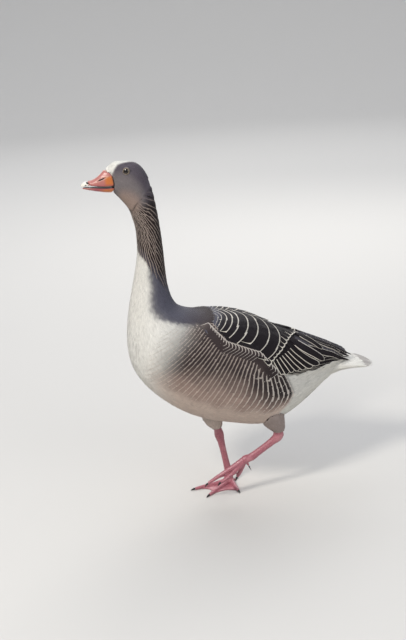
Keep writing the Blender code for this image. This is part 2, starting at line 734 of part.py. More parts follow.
def build_foot(label, foot, shank, parts, cutters, finishes):
    """Foot with three webbed toes and a hind toe, and its claws as separate nodes."""
    lifted = foot["at"][2] > 0
    frame = foot_frame(foot)
    name = "foot_" + label
    body = add(name, loft(name, heel_rings(shank, frame)), parts, finishes["leg skin"])
    lines = {}
    for toe_name, toe in foot["toes"].items():
        hind = toe_name == "hind"
        points, radii = toe_line(toe, HIND_TOE_SHARE if hind else 1.0, lifted)
        if hind:
            for k, point in enumerate(points):
                point.z += HIND_TOE_RISE * (1 - k / (len(points) - 1)) ** 2
        lines[toe_name] = points
        tube = loft(toe_name, toe_tube(points, radii, frame, TOE_AROUND))
        join = add_guide(name + "_" + toe_name, tube, cutters)
        apply_boolean(body, join, "UNION", "MANIFOLD")
        line, sizes = claw_line(points, radii, lifted)
        claw_name = "claw_" + toe_name + "_" + label
        claw = loft(claw_name, toe_tube(line, sizes, frame, CLAW_AROUND))
        add(claw_name, claw, parts, finishes["claw"])
    web = web_mesh(name + "_web", web_outline(lines), frame, lifted)
    apply_boolean(body, add_guide(name + "_web", web, cutters), "UNION", "MANIFOLD")
    if not lifted:
        bm = bmesh.new()
        bmesh.ops.create_cube(bm, size=GROUND)
        bmesh.ops.translate(bm, vec=(0, 0, -GROUND / 2), verts=bm.verts)
        ground = add_guide(name + "_sole", new_mesh(name + "_sole", bm), cutters)
        apply_boolean(body, ground, "DIFFERENCE", "MANIFOLD")


def build_legs(parts, cutters, finishes):
    rows = HEAD + NECK + TRUNK
    under = body_rings(rows, PARTINGS[2], len(rows) - 1, BODY_STEPS, grow=CUT)
    belly = add_guide("belly", loft("belly", under), cutters)
    legs = (
        ("left", LEFT_THIGH, LEFT_SHANK, LEFT_FOOT),
        ("right", RIGHT_THIGH, RIGHT_SHANK, RIGHT_FOOT),
    )
    for label, thigh_rows, shank_rows, foot in legs:
        name = "thigh_" + label
        mesh = loft(name, smooth_rings(thigh_rows, THIGH_AROUND))
        thigh = add(name, mesh, parts, finishes["grey feathers"])
        apply_boolean(thigh, belly, "DIFFERENCE")
        name = "shank_" + label
        mesh = loft(name, smooth_rings(shank_rows, SHANK_AROUND))
        add(name, mesh, parts, finishes["leg skin"])
        build_foot(label, foot, shank_rows, parts, cutters, finishes)


def build_goose():
    for thing in list(bpy.data.objects):
        bpy.data.objects.remove(thing, do_unlink=True)
    parts = bpy.data.collections.new("goose")
    cutters = bpy.data.collections.new("goose_cutters")
    for collection in (parts, cutters):
        bpy.context.scene.collection.children.link(collection)
    place = bpy.data.objects.new("goose_place", None)
    parts.objects.link(place)
    place.location = (-LENGTH_MIDDLE * MM, 0, 0)
    finishes = {name: make_material(name, *look) for name, look in COLOURS.items()}
    body = build_body(parts, finishes)
    build_eyes(parts, cutters, finishes, body["head"])
    build_bill(parts, finishes)
    tail = build_tail(parts, finishes)
    build_wings(parts, cutters, finishes, body["trunk"], tail)
    build_legs(parts, cutters, finishes)
    for thing in (*parts.objects, *cutters.objects):
        if thing is not place:
            thing.parent = place


build_goose()
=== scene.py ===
"""A domestic goose in its plumage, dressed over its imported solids.

Metres, +Z up, in the frame of the solids: the goose heads along -X, its left side faces -Y, and
it stands on z = 0.  One skin lies inside the solids by the depth of the coat.  Every feather is a
thin closed vane, laid on a sheet that follows the outside of the solids.  A spot on a sheet has a
place, counted in rows of the guide from the bill to the tail, and an angle from the middle of the
back, which runs down the right side to the belly and up the left one.  Tables are pairs of a place
and degrees round the body, or the reverse, unless they say otherwise.
"""

from math import atan2, cos, pi, radians, sin

import bmesh
import bpy
import numpy as np
from mathutils import Matrix, Vector, noise
from mathutils.bvhtree import BVHTree
from mathutils.kdtree import KDTree


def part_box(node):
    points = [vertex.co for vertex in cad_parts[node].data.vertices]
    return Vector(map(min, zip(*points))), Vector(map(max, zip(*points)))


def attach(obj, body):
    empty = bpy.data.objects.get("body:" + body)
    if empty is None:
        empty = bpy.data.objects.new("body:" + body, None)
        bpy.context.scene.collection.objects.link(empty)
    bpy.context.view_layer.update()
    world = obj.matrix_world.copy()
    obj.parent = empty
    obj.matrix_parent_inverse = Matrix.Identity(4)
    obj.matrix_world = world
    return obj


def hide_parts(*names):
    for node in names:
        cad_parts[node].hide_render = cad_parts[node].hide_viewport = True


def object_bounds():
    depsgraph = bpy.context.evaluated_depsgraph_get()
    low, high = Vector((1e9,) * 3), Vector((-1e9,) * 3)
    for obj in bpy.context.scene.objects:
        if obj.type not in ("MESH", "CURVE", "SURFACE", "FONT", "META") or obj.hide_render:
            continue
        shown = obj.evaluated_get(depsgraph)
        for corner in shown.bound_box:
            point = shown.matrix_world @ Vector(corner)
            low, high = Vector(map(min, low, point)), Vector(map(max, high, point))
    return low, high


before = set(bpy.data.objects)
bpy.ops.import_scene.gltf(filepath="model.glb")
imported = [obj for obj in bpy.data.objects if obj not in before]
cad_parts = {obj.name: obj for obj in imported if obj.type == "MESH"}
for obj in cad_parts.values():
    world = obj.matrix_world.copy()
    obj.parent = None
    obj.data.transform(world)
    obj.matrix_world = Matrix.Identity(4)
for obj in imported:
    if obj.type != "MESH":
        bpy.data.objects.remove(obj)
cad_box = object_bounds()

LOW, HIGH = (np.array(corner) for corner in cad_box)
SIZE = HIGH - LOW
MM = 0.001
draw = np.random.default_rng(11)

# Rows of the guide: where a plane across the body meets the back, and where it meets the throat,
# breast or belly, each as shares of the goose's length and height.
GUIDE = (
    # bill's edge, brow, crown and nape
    (0.085, 0.985, 0.107, 0.914), (0.118, 0.999, 0.125, 0.896), (0.166, 0.996, 0.138, 0.882),
    (0.219, 0.959, 0.152, 0.860),
    # neck
    (0.236, 0.901, 0.160, 0.830), (0.248, 0.826, 0.164, 0.791), (0.253, 0.750, 0.162, 0.743),
    (0.257, 0.676, 0.149, 0.692), (0.272, 0.612, 0.121, 0.612), (0.310, 0.578, 0.106, 0.530),
    # shoulders and breast to the middle of the flank
    (0.376, 0.567, 0.109, 0.433), (0.436, 0.561, 0.150, 0.366), (0.495, 0.550, 0.241, 0.294),
    (0.555, 0.530, 0.339, 0.250),
    # thigh and vent
    (0.618, 0.504, 0.448, 0.223), (0.675, 0.484, 0.555, 0.209), (0.728, 0.465, 0.640, 0.220),
    (0.786, 0.443, 0.717, 0.253),
    # tail
    (0.837, 0.422, 0.786, 0.292), (0.882, 0.402, 0.846, 0.323), (0.930, 0.380, 0.906, 0.334),
    (0.974, 0.355, 0.966, 0.338),
)
STEPS = 10                  # rings read between two rows of the guide
ROUND = 96                  # points read around a ring
ANGLES = np.arange(ROUND) * 2 * pi / ROUND
PIVOT = 0.1896              # the upright axis that the head turns about, as a share of the length
TURN_LOW, TURN_HIGH = 0.633, 0.908      # heights between which the neck takes up the turn
CLEAR = 40 * MM             # how far outside the body a reading starts
FAR = 1.0                   # well outside the whole goose
FORM_VOXEL = 2.0 * MM
WING_FROM = 10.0            # the row of the guide at the shoulders, where the wings start
WING_REACH = 1.25           # how far the wing is carried on, against the depth of its lower edge

BODY_NODES = ("head", "neck_upper", "neck_lower", "trunk", "wing_left", "wing_right")
FACE_NODES = ("eye_left", "eye_right", "bill_upper", "bill_lower")
FORM_NODES = BODY_NODES + ("flight_left", "flight_right", "tail") + FACE_NODES


# ---- numbers ----

def blend(low, high, value):
    """Rise smoothly from 0 at low to 1 at high."""
    share = np.clip((np.asarray(value, float) - low) / (high - low), 0.0, 1.0)
    return share * share * (3 - 2 * share)


def mix(first, second, share):
    first, second = np.asarray(first, float), np.asarray(second, float)
    return first + (second - first) * np.asarray(share)[..., None]


def along_table(table, value):
    """Read a table of pairs at a value, on straight lines."""
    pairs = np.array(table, float)
    return np.interp(value, pairs[:, 0], pairs[:, 1])


def folded(angle):
    """Degrees from the middle of the back, the same on both sides."""
    return np.degrees(np.abs(np.mod(angle + pi, 2 * pi) - pi))


def unit(ways):
    return ways / np.linalg.norm(ways, axis=-1, keepdims=True)


def ripple(points, size):
    """Slow, smooth unevenness between -1 and 1 from a few crossed waves."""
    x, y, z = (points[..., axis] / size for axis in range(3))
    return (np.sin(x * 1.7 + 2.1 * np.sin(z * 0.9)) + np.sin(z * 1.9 + 1.7 * np.sin(y * 1.3 + x))
            + np.sin(y * 2.3 + 1.3 * np.sin(x * 1.1 - z))) / 3


def middle(node):
    low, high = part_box(node)
    return (Vector(low) + Vector(high)) / 2


across_eyes = middle("eye_right") - middle("eye_left")
HEAD_TURN = atan2(across_eyes.x, across_eyes.y)
EYES_MIDDLE = (middle("eye_left") + middle("eye_right")) / 2
AHEAD = Vector((-cos(HEAD_TURN), sin(HEAD_TURN), 0))
ASIDE = Vector((sin(HEAD_TURN), cos(HEAD_TURN), 0))


# ---- meshes ----

def in_scene(name, data):
    thing = bpy.data.objects.new(name, data)
    bpy.context.scene.collection.objects.link(thing)
    return thing


def mesh_of(bm, name):
    """The mesh of a bmesh, which it uses up."""
    mesh = bpy.data.meshes.new(name)
    bm.to_mesh(mesh)
    bm.free()
    mesh.shade_smooth()
    return mesh


def joined_nodes(names):
    """A bmesh of several solids, with their loose triangles merged."""
    bm = bmesh.new()
    for name in names:
        bm.from_mesh(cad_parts[name].data)
    bmesh.ops.remove_doubles(bm, verts=bm.verts, dist=0.01 * MM)
    return bm


def baked_mesh(mesh, kind, **settings):
    """What a mesh becomes under a modifier."""
    thing = in_scene(mesh.name, mesh)
    modifier = thing.modifiers.new(kind.lower(), kind)
    for setting, value in settings.items():
        setattr(modifier, setting, value)
    graph = bpy.context.evaluated_depsgraph_get()
    result = bpy.data.meshes.new_from_object(thing.evaluated_get(graph))
    bpy.data.objects.remove(thing)
    bpy.data.meshes.remove(mesh)
    result.shade_smooth()
    return result


def fused(name, nodes, voxel=FORM_VOXEL):
    """One closed mesh around several solids, without the gaps between them."""
    return baked_mesh(mesh_of(joined_nodes(nodes), name), "REMESH", mode="VOXEL", voxel_size=voxel)


def tree_of(mesh):
    bm = bmesh.new()
    bm.from_mesh(mesh)
    tree = BVHTree.FromBMesh(bm)
    bm.free()
    return tree


def of_vertices(mesh, what):
    """The co or normal of each vertex."""
    found = np.empty(len(mesh.vertices) * 3, np.float32)
    mesh.vertices.foreach_get(what, found)
    return found.reshape(-1, 3).astype(float)


def move_to(mesh, points):
    mesh.vertices.foreach_set("co", points.astype(np.float32).ravel())
    mesh.update()


def paint(mesh, colours, layer="tone"):
    """Give each vertex of a mesh its colour."""
    colours = np.broadcast_to(colours, (len(mesh.vertices), 3))
    values = np.hstack([colours, np.ones((len(colours), 1))]).astype(np.float32)
    attribute = mesh.color_attributes.new(layer, "FLOAT_COLOR", "POINT")
    attribute.data.foreach_set("color", values.ravel())


def place_piece(name, mesh, finish, slot, *replaced):
    thing = in_scene(name, mesh)
    mesh.materials.clear()
    mesh.materials.append(finish)
    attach(thing, "root")
    if replaced:
        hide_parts(*replaced)


# ---- sheets ----

def guide_rows():
    """The guide on a smooth curve, STEPS times as close: back and belly points in metres."""
    rows = np.array(GUIDE)
    last = len(rows) - 1
    places = np.arange(last * STEPS + 1) / STEPS
    first = np.minimum(places.astype(int), last - 1)
    share = (places - first)[:, None]
    a, b, c, d = (rows[np.clip(first + shift, 0, last)] for shift in (-1, 0, 1, 2))
    bent = 2 * a - 5 * b + 4 * c - d + share * (3 * (b - c) + d - a)
    curve = b + 0.5 * share * (c - a + share * bent)
    along, height = LOW[0] + curve[:, ::2] * SIZE[0], curve[:, 1::2] * SIZE[2]
    return (np.stack([along[:, k], 0 * places, height[:, k]], 1) for k in (0, 1))


def planes():
    """For each ring: its middle, the way up and the way right in its plane, and half its height."""
    back, belly = guide_rows()
    centre, up = (back + belly) / 2, back - belly
    half = np.linalg.norm(up, axis=1) / 2
    up /= 2 * half[:, None]
    turn = HEAD_TURN * blend(TURN_LOW * SIZE[2], TURN_HIGH * SIZE[2], centre[:, 2])
    pivot = LOW[0] + PIVOT * SIZE[0]
    reach = centre[:, 0] - pivot
    centre[:, 0] = pivot + reach * np.cos(turn)
    centre[:, 1] = -reach * np.sin(turn)
    right = np.stack([np.sin(turn), np.cos(turn), 0 * turn], 1)
    up = np.stack([up[:, 0] * np.cos(turn), -up[:, 0] * np.sin(turn), up[:, 2]], 1)
    return centre, up, right, half


def inward(tree, centre, way, start):
    """Where a ray that comes in to a centre first meets a form, and how far out that is."""
    way = Vector(way)
    hit = tree.ray_cast(Vector(centre) + way * start, -way, start)
    return hit[0], start - hit[3] if hit[0] is not None else np.nan


def ring_points(tree, centre, up, right, tall, wide):
    """A ring of readings on the outside of a form, with gaps closed from their neighbours."""
    ways = unit(np.cos(ANGLES)[:, None] * up * tall + np.sin(ANGLES)[:, None] * right * wide)
    reach = np.array([inward(tree, centre, way, max(tall, wide) + CLEAR)[1] for way in ways])
    known = np.flatnonzero(~np.isnan(reach))
    reach = np.interp(np.arange(ROUND), known, reach[known], period=ROUND)
    return centre + ways * reach[:, None]


class Sheet:
    """A smooth surface over the body that is read by place and angle."""

    def __init__(self, points, rounds):
        self.points = np.array(points)
        for _ in range(rounds):
            grid = self.points
            grid = (np.roll(grid, 1, 1) + 2 * grid + np.roll(grid, -1, 1)) / 4
            grid[1:-1] = (grid[:-2] + 2 * grid[1:-1] + grid[2:]) / 4
            self.points = grid
        along = np.gradient(grid, 1 / STEPS, axis=0)
        around = (np.roll(grid, -1, 1) - np.roll(grid, 1, 1)) * ROUND / (4 * pi)
        normals = np.cross(along, around)
        if (normals * (grid - grid.mean(axis=1, keepdims=True))).sum() < 0:
            normals = -normals
        self.normals = unit(normals)
        self.run = np.linalg.norm(along, axis=2)
        self.bow = np.linalg.norm(around, axis=2)

    def read(self, what, place, angle):
        """The sheet's points or normals, or its length along (run) or around (bow) per unit."""
        values = getattr(self, what)
        row = np.clip(place * STEPS, 0, len(values) - 1.001)
        column = np.mod(angle, 2 * pi) * ROUND / (2 * pi)
        i, j = row.astype(int), column.astype(int) % ROUND
        u, v = row - i, column - np.floor(column)
        if values.ndim == 3:
            u, v = u[..., None], v[..., None]
        n = (j + 1) % ROUND
        return ((1 - u) * ((1 - v) * values[i, j] + v * values[i, n])
                + u * ((1 - v) * values[i + 1, j] + v * values[i + 1, n]))


def body_sheet(tree):
    """The sheet around the whole body."""
    points = []
    for centre, up, right, tall in zip(*planes()):
        sides = [inward(tree, centre, way, tall + CLEAR)[1] for way in (right, -right)]
        wide = tall if np.isnan(sides).all() else np.nanmean(sides)
        points.append(ring_points(tree, centre, up, right, tall, wide))
    return Sheet(points, 2)


def wing_sheet(body, tree):
    """The body's sheet, with its wings carried on past their lower edges for feathers to lie on."""
    points = body.points.copy()
    for ring, centre, up, right, _ in list(zip(points, *planes()))[round(WING_FROM * STEPS):]:
        reach = np.linalg.norm(ring - centre, axis=1)
        ways = (ring - centre) / reach[:, None]
        lowest = 0
        for k in range(ROUND // 2):
            spot, _ = inward(tree, centre, ways[k], reach[k] + CLEAR)
            if spot is not None:
                lowest, ring[k] = k, spot
        if lowest < 4:
            continue
        edge = ring[lowest]
        normal = np.cross(unit(edge - ring[lowest - 3]), np.cross(up, right))
        level, most = np.dot(edge - centre, normal), WING_REACH * np.linalg.norm(edge - centre)
        for k in range(lowest + 1, ROUND // 2):
            facing = np.dot(ways[k], normal)
            straight = level / facing if abs(facing) > 0.2 else 2 * reach[lowest]
            ring[k] = centre + ways[k] * min(abs(straight), most)
    points[:, :ROUND // 2:-1] = points[:, 1:ROUND // 2] * (1, -1, 1)
    return Sheet(points, 2)


def leg_sheet(tree, top, bottom, front):
    """A sheet around a thigh, from its top to where the bare leg comes out of it."""
    ahead, right = np.array((-1.0, 0.0, 0.0)), np.array((0.0, 1.0, 0.0))
    return Sheet([ring_points(tree, top + (bottom - top) * share, ahead, right, front, front)
                  for share in np.linspace(0, 0.96, 3 * STEPS + 1)], 2)


def tail_sheet():
    """A sheet around the flat tail alone."""
    low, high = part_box("tail")
    tree = tree_of(fused("tail", ("tail",), 1.0 * MM))
    up, right = np.array((0.0, 0.0, 1.0)), np.array((0.0, 1.0, 0.0))
    points = []
    for share in np.linspace(0.02, 0.985, 3 * STEPS + 1):
        along = low[0] + (high[0] - low[0]) * share
        top, bottom = (tree.ray_cast(Vector((along, 0, side)), Vector((0, 0, -side)), 2 * FAR)[0].z
                       for side in (FAR, -FAR))
        centre = np.array((along, 0, top * 0.4 + bottom * 0.6))
        tall = (top - bottom) / 2
        edge = inward(tree, centre, right, FAR)[0]
        points.append(ring_points(tree, centre, up, right, tall, edge.y if edge else tall))
    return Sheet(points, 1)


# ---- feathers ----

PATCH = 0.003               # of the bake map, for one feather
PATCHES_FROM, PATCHES_WIDE = 0.02, 0.95
UNEDGED = 9.0               # distance from a pale edge, in edge widths, where there is none
THINNEST_EDGE = 0.05 * MM
BARBS = 34.0                # along one vane
SIZES = ("length", "width", "root", "tip", "thick", "tilt", "rim")
PLAIN = {"turn": 0.0, "taper": 0.0, "tilt": 0.0, "slant": 0.0, "rim": 0.0, "side_rim": 1.0}


def plate(across, along, soft):
    """A closed plate, thickest in its middle: share across and along, side of each vertex, faces.

    soft is how far its shading follows the body under it instead of its own relief.
    """
    bm = bmesh.new()
    bmesh.ops.create_grid(bm, x_segments=across, y_segments=along, size=1.0)
    for vert in bm.verts:
        vert.co.z = 0.0 if vert.is_boundary else 1.0
    lower = bmesh.ops.duplicate(bm, geom=bm.verts[:] + bm.edges[:] + bm.faces[:])["geom"]
    below = [part for part in lower if isinstance(part, bmesh.types.BMFace)]
    bmesh.ops.reverse_faces(bm, faces=below)
    for part in lower:
        if isinstance(part, bmesh.types.BMVert):
            part.co.z = -part.co.z
    bmesh.ops.remove_doubles(bm, verts=bm.verts, dist=0.001)
    bm.verts.index_update()
    verts = np.array([vert.co[:] for vert in bm.verts])
    faces = []
    for face in bm.faces:
        # a corner is cut from its inner vertex outwards, so that the sides never share a triangle
        inner = [k for k, vert in enumerate(face.verts) if vert.co.z != 0]
        start = inner[0] if len(inner) == 1 else 0
        loop = [face.verts[(start + k) % 4].index for k in range(4)]
        faces += [loop[:3], [loop[0], loop[2], loop[3]]]
    bm.free()
    return {"w": verts[:, 0], "t": (verts[:, 1] + 1) / 2, "side": verts[:, 2],
            "faces": np.array(faces), "soft": soft}


TUFT = plate(2, 2, 1.0)
SMALL = plate(3, 3, 0.9)
BODY_VANE = plate(4, 5, 0.8)
LARGE = plate(6, 10, 0.65)
FLIGHT = plate(8, 22, 0.5)


def spots(place, angle, **given):
    """The feathers of a region as arrays, from sizes in millimetres; one value stands for all.

    root and tip are how deep a feather's ends lie, cup how far its sides droop for its width, rim
    how wide its pale edge is, and side_rim how wide that is at the sides against the tip.
    """
    place = np.atleast_1d(np.asarray(place, float))
    many = {name: np.broadcast_to(np.asarray(value, float), place.shape).copy()
            for name, value in {**PLAIN, "angle": angle, **given}.items()}
    for name in SIZES:
        many[name] *= MM
    return {**many, "place": place, "hand": np.where(np.mod(many["angle"], 2 * pi) > pi, -1.0, 1.0)}


def chosen(many, keep):
    return {name: values[keep] for name, values in many.items()}


def together(groups):
    return {name: np.concatenate([group[name] for group in groups]) for name in groups[0]}


def mirrored(many):
    """The same feathers on the other side of the goose."""
    return {**many, "angle": 2 * pi - many["angle"], "hand": -many["hand"]}


def aimed(sheet, roots, tips, width, lean=0.0, **given):
    """Feathers from given roots to given tips, each a (place, degrees) pair on the right side.

    lean moves each feather sideways up the wing, by that share of its width.
    """
    start, end = (np.array(ends, float) * (1, pi / 180) for ends in (roots, tips))
    run, bow = (sheet.read(what, *((start + end) / 2).T) for what in ("run", "bow"))
    ahead, aside = (end - start).T * (run, bow)
    turn = np.arctan2(aside, ahead)
    place = start[:, 0] + lean * width * MM * np.sin(turn) / run
    angle = start[:, 1] - lean * width * MM * np.cos(turn) / bow
    return spots(place, angle, length=np.hypot(ahead, aside) / MM, width=width, turn=turn, **given)


def rows_of_spots(sheet, first, last, gap, pitch, high=180, low=0, jitter=0.3):
    """Rows of spots down one side, each row half a step off the one before it.

    gap, between rows at mid height, and pitch, within a row, are tables of millimetres by place.
    Returns place, angle and how many millimetres the rows are apart at each spot.
    """
    fine = np.linspace(radians(low), radians(high), 120)
    flank = np.linspace(radians(60), radians(120), 9)
    rows = []
    place = first
    while place < last:
        wide = along_table(pitch, place) * MM
        run = sheet.read("run", np.full_like(flank, place), flank).mean()
        step = along_table(gap, place) * MM / run
        bow = sheet.read("bow", np.full_like(fine, place), fine)
        length = np.concatenate([[0], np.cumsum((bow[1:] + bow[:-1]) / 2 * np.diff(fine))])
        wanted = np.arange(wide * (0.25 + 0.5 * (len(rows) % 2)), length[-1], wide)
        angle = np.interp(wanted, length, fine)
        angle += draw.uniform(-jitter, jitter, len(angle)) * wide / np.interp(angle, fine, bow)
        spread = place + draw.uniform(-jitter, jitter, len(angle)) * step
        rows.append((spread, angle, step * sheet.read("run", spread, angle) / MM))
        place += step
    return np.hstack(rows)


def both_sides(*given, **settings):
    """Rows down the right side and, with draws of their own, down the left one."""
    right, left = (rows_of_spots(*given, **settings) for _ in range(2))
    left[1] = 2 * pi - left[1]
    return np.hstack([right, left])


def shaped(template, sheet, many):
    """Where every vertex of the feathers lies, as (feather, vertex) arrays."""
    w, t, side = (template[name][None, :] for name in ("w", "t", "side"))
    get = {name: values[:, None] for name, values in many.items()}
    breadth = (0.5 + 0.5 * blend(0.0, 0.45, t)) * (1 - get["taper"] * blend(0.45, 1.0, t))
    across = w * breadth * get["width"] / 2
    rounding = 1 - get["round_tip"] * np.abs(w) ** 2.2
    along = t * rounding * get["length"] + get["slant"] * across * t
    turn = get["turn"]
    ahead = along * np.cos(turn) - across * np.sin(turn)
    aside = (along * np.sin(turn) + across * np.cos(turn)) * get["hand"]
    # the sheet's stretch is read at the root, then again half way out
    place, angle = get["place"], get["angle"]
    for share in (0.5, 1.0):
        run, bow = (sheet.read(what, place, angle) for what in ("run", "bow"))
        place = get["place"] + share * ahead / run
        angle = get["angle"] + share * aside / bow
    lift = -get["root"] + (get["root"] - get["tip"]) * t ** 0.8 + get["tilt"] * w
    lift = lift - get["cup"] * get["width"] * w * w + side * get["thick"] / 2 * (1 - 0.6 * t)
    normals = unit(sheet.read("normals", place, angle))
    points = sheet.read("points", place, angle) + normals * lift[..., None]
    to_side = (1 - np.abs(w)) * get["width"] / 2 / get["side_rim"]
    edge = np.minimum((1 - t) * get["length"], np.where(t > 0.35, to_side, 1.0)) + 0 * place
    return points, place, angle, edge, normals


def feather_mesh(name, template, points, normals, tone, rim, edge, corner):
    """One mesh of many feathers, with their colours, edges and bake patches."""
    many, count = points.shape[:2]
    faces = template["faces"]
    mesh = bpy.data.meshes.new(name)
    mesh.vertices.add(many * count)
    mesh.vertices.foreach_set("co", points.astype(np.float32).ravel())
    # faces wind the same way round on both sides of the goose
    first = faces[np.argmax(template["side"][faces].sum(axis=1))]
    edges = points[:, first[1:]] - points[:, first[:1]]
    outward = (np.cross(edges[:, 0], edges[:, 1]) * normals[:, first[0]]).sum(axis=1) > 0
    faces = np.where(outward[:, None, None], faces[None], faces[None, :, ::-1])
    corners = (faces + (np.arange(many) * count)[:, None, None]).astype(np.int32).ravel()
    mesh.loops.add(corners.size)
    mesh.loops.foreach_set("vertex_index", corners)
    mesh.polygons.add(corners.size // 3)
    mesh.polygons.foreach_set("loop_start", np.arange(0, corners.size, 3, dtype=np.int32))
    mesh.update(calc_edges=True)
    mesh.shade_smooth()
    paint(mesh, tone.reshape(-1, 3))
    paint(mesh, rim.reshape(-1, 3), "rim")
    edges = mesh.attributes.new("edge", "FLOAT", "POINT")
    edges.data.foreach_set("value", edge.astype(np.float32).ravel())
    vane = np.stack([template["w"] / 2 + 0.5, template["t"]], 1)
    local = np.broadcast_to(vane[None], (many, count, 2))
    for layer, values in (("OFBake", corner[:, None, :] + PATCH * local), ("vane", local)):
        layout = mesh.uv_layers.new(name=layer)
        values = values.reshape(-1, 2)[corners]
        layout.data.foreach_set("uv", values.astype(np.float32).ravel())
    upward = normals * np.where(template["side"] < 0, -1.0, 1.0)[None, :, None]
    own = of_vertices(mesh, "normal")
    mesh.normals_split_custom_set_from_vertices(mix(own, upward.reshape(-1, 3), template["soft"]))
    return mesh


def lay(name, template, sheet, many, finish, slot, dye, *replaced):
    """A piece of plumage: its mesh, its finish and what it stands for."""
    points, place, angle, edge, normals = shaped(template, sheet, many)
    tone, rim, width = dye(place, angle, points)
    vary = draw.normal(1.0, 0.05, (len(points), 1, 1))
    width = width * many["rim"][:, None]
    edge = np.where(width > 0, edge / np.maximum(width, THINNEST_EDGE), UNEDGED)
    roots = many["place"] - many["place"].min()
    shares = [np.mod(many["angle"], 2 * pi) / (2 * pi), roots / max(roots.max(), 0.1)]
    corner = PATCHES_FROM + PATCHES_WIDE * np.stack(shares, 1)
    mesh = feather_mesh(name, template, points, normals, tone * vary, rim * vary, edge, corner)
    place_piece(name, mesh, finish, slot, *replaced)


# ---- colours of the plumage ----

WHITE = (0.80, 0.78, 0.72)
FACE_GREY = (0.185, 0.162, 0.164)
CROWN_GREY = (0.095, 0.080, 0.098)
THROAT_BROWN = (0.340, 0.250, 0.210)
FURROW_DARK = (0.018, 0.012, 0.012)
FURROW_PALE = (0.30, 0.240, 0.205)
SLATE = (0.098, 0.096, 0.125)
NECK_GREY = (0.25, 0.24, 0.235)
CREAM = (0.76, 0.735, 0.675)
BREAST = (0.76, 0.74, 0.685)
SHOULDER_BROWN = (0.50, 0.43, 0.365)
FLANK_DARK = (0.040, 0.028, 0.028)
FLANK_REAR = (0.022, 0.015, 0.016)
FLANK_LOW = (0.34, 0.245, 0.205)
FLANK_RIM = (0.37, 0.305, 0.262)
RUMP_GREY = (0.075, 0.070, 0.080)
BELLY = (0.60, 0.48, 0.405)
VENT = (0.70, 0.68, 0.62)
TAIL_GREY = (0.36, 0.335, 0.31)
WING_BLACK = (0.010, 0.007, 0.009)
WING_RIM = (0.74, 0.69, 0.60)
# the thighs share one tone: the near, left thigh is darker as painted shade and the far, right one
# lighter as painted sunlight
THIGH_TONE_LIT_AND_SHADED = {"left": (0.33, 0.265, 0.24), "right": (0.56, 0.47, 0.41)}

# place by degrees round the body
FACE_END = ((0, 3.7), (50, 3.6), (75, 3.5), (98, 3.35), (124, 3.1), (142, 3.0), (156, 2.7),
            (180, 2.6))
FURROW_END = ((0, 7.4), (49, 7.3), (64, 7.1), (79, 6.8), (98, 6.6), (112, 6.3), (139, 6.0),
              (180, 5.5))
FLANK_FRONT = ((40, 10.0), (70, 10.2), (90, 10.3), (112, 10.7), (131, 11.1), (150, 11.6),
               (180, 12.0))
FLANK_END = ((60, 14.6), (79, 15.0), (90, 15.4), (101, 15.7), (112, 15.6), (124, 15.3), (150, 15.0),
             (180, 14.8))
# degrees round the body by place
BLAZE_EDGE = ((0.0, 76), (0.7, 60), (0.9, 49), (1.2, 34), (1.8, 22), (2.1, 8), (2.3, 0))
SLATE_EDGE = ((5.0, 101), (7.8, 101), (8.2, 98), (8.6, 90), (8.8, 79), (9.1, 64), (9.5, 54),
              (10.0, 43), (10.6, 34))
WING_EDGE = ((10.0, 38), (10.6, 46), (11.1, 54), (11.8, 61), (13.5, 62), (14.0, 68), (14.6, 75),
             (15.2, 80))
WING_LINE = ((10.0, 25), (10.2, 34), (10.6, 45), (11.1, 52), (11.8, 60), (13.5, 60), (14.0, 68),
             (14.6, 75))
BELLY_EDGE = ((10.5, 145), (11.5, 127), (12.8, 120), (14.4, 119), (15.5, 115))


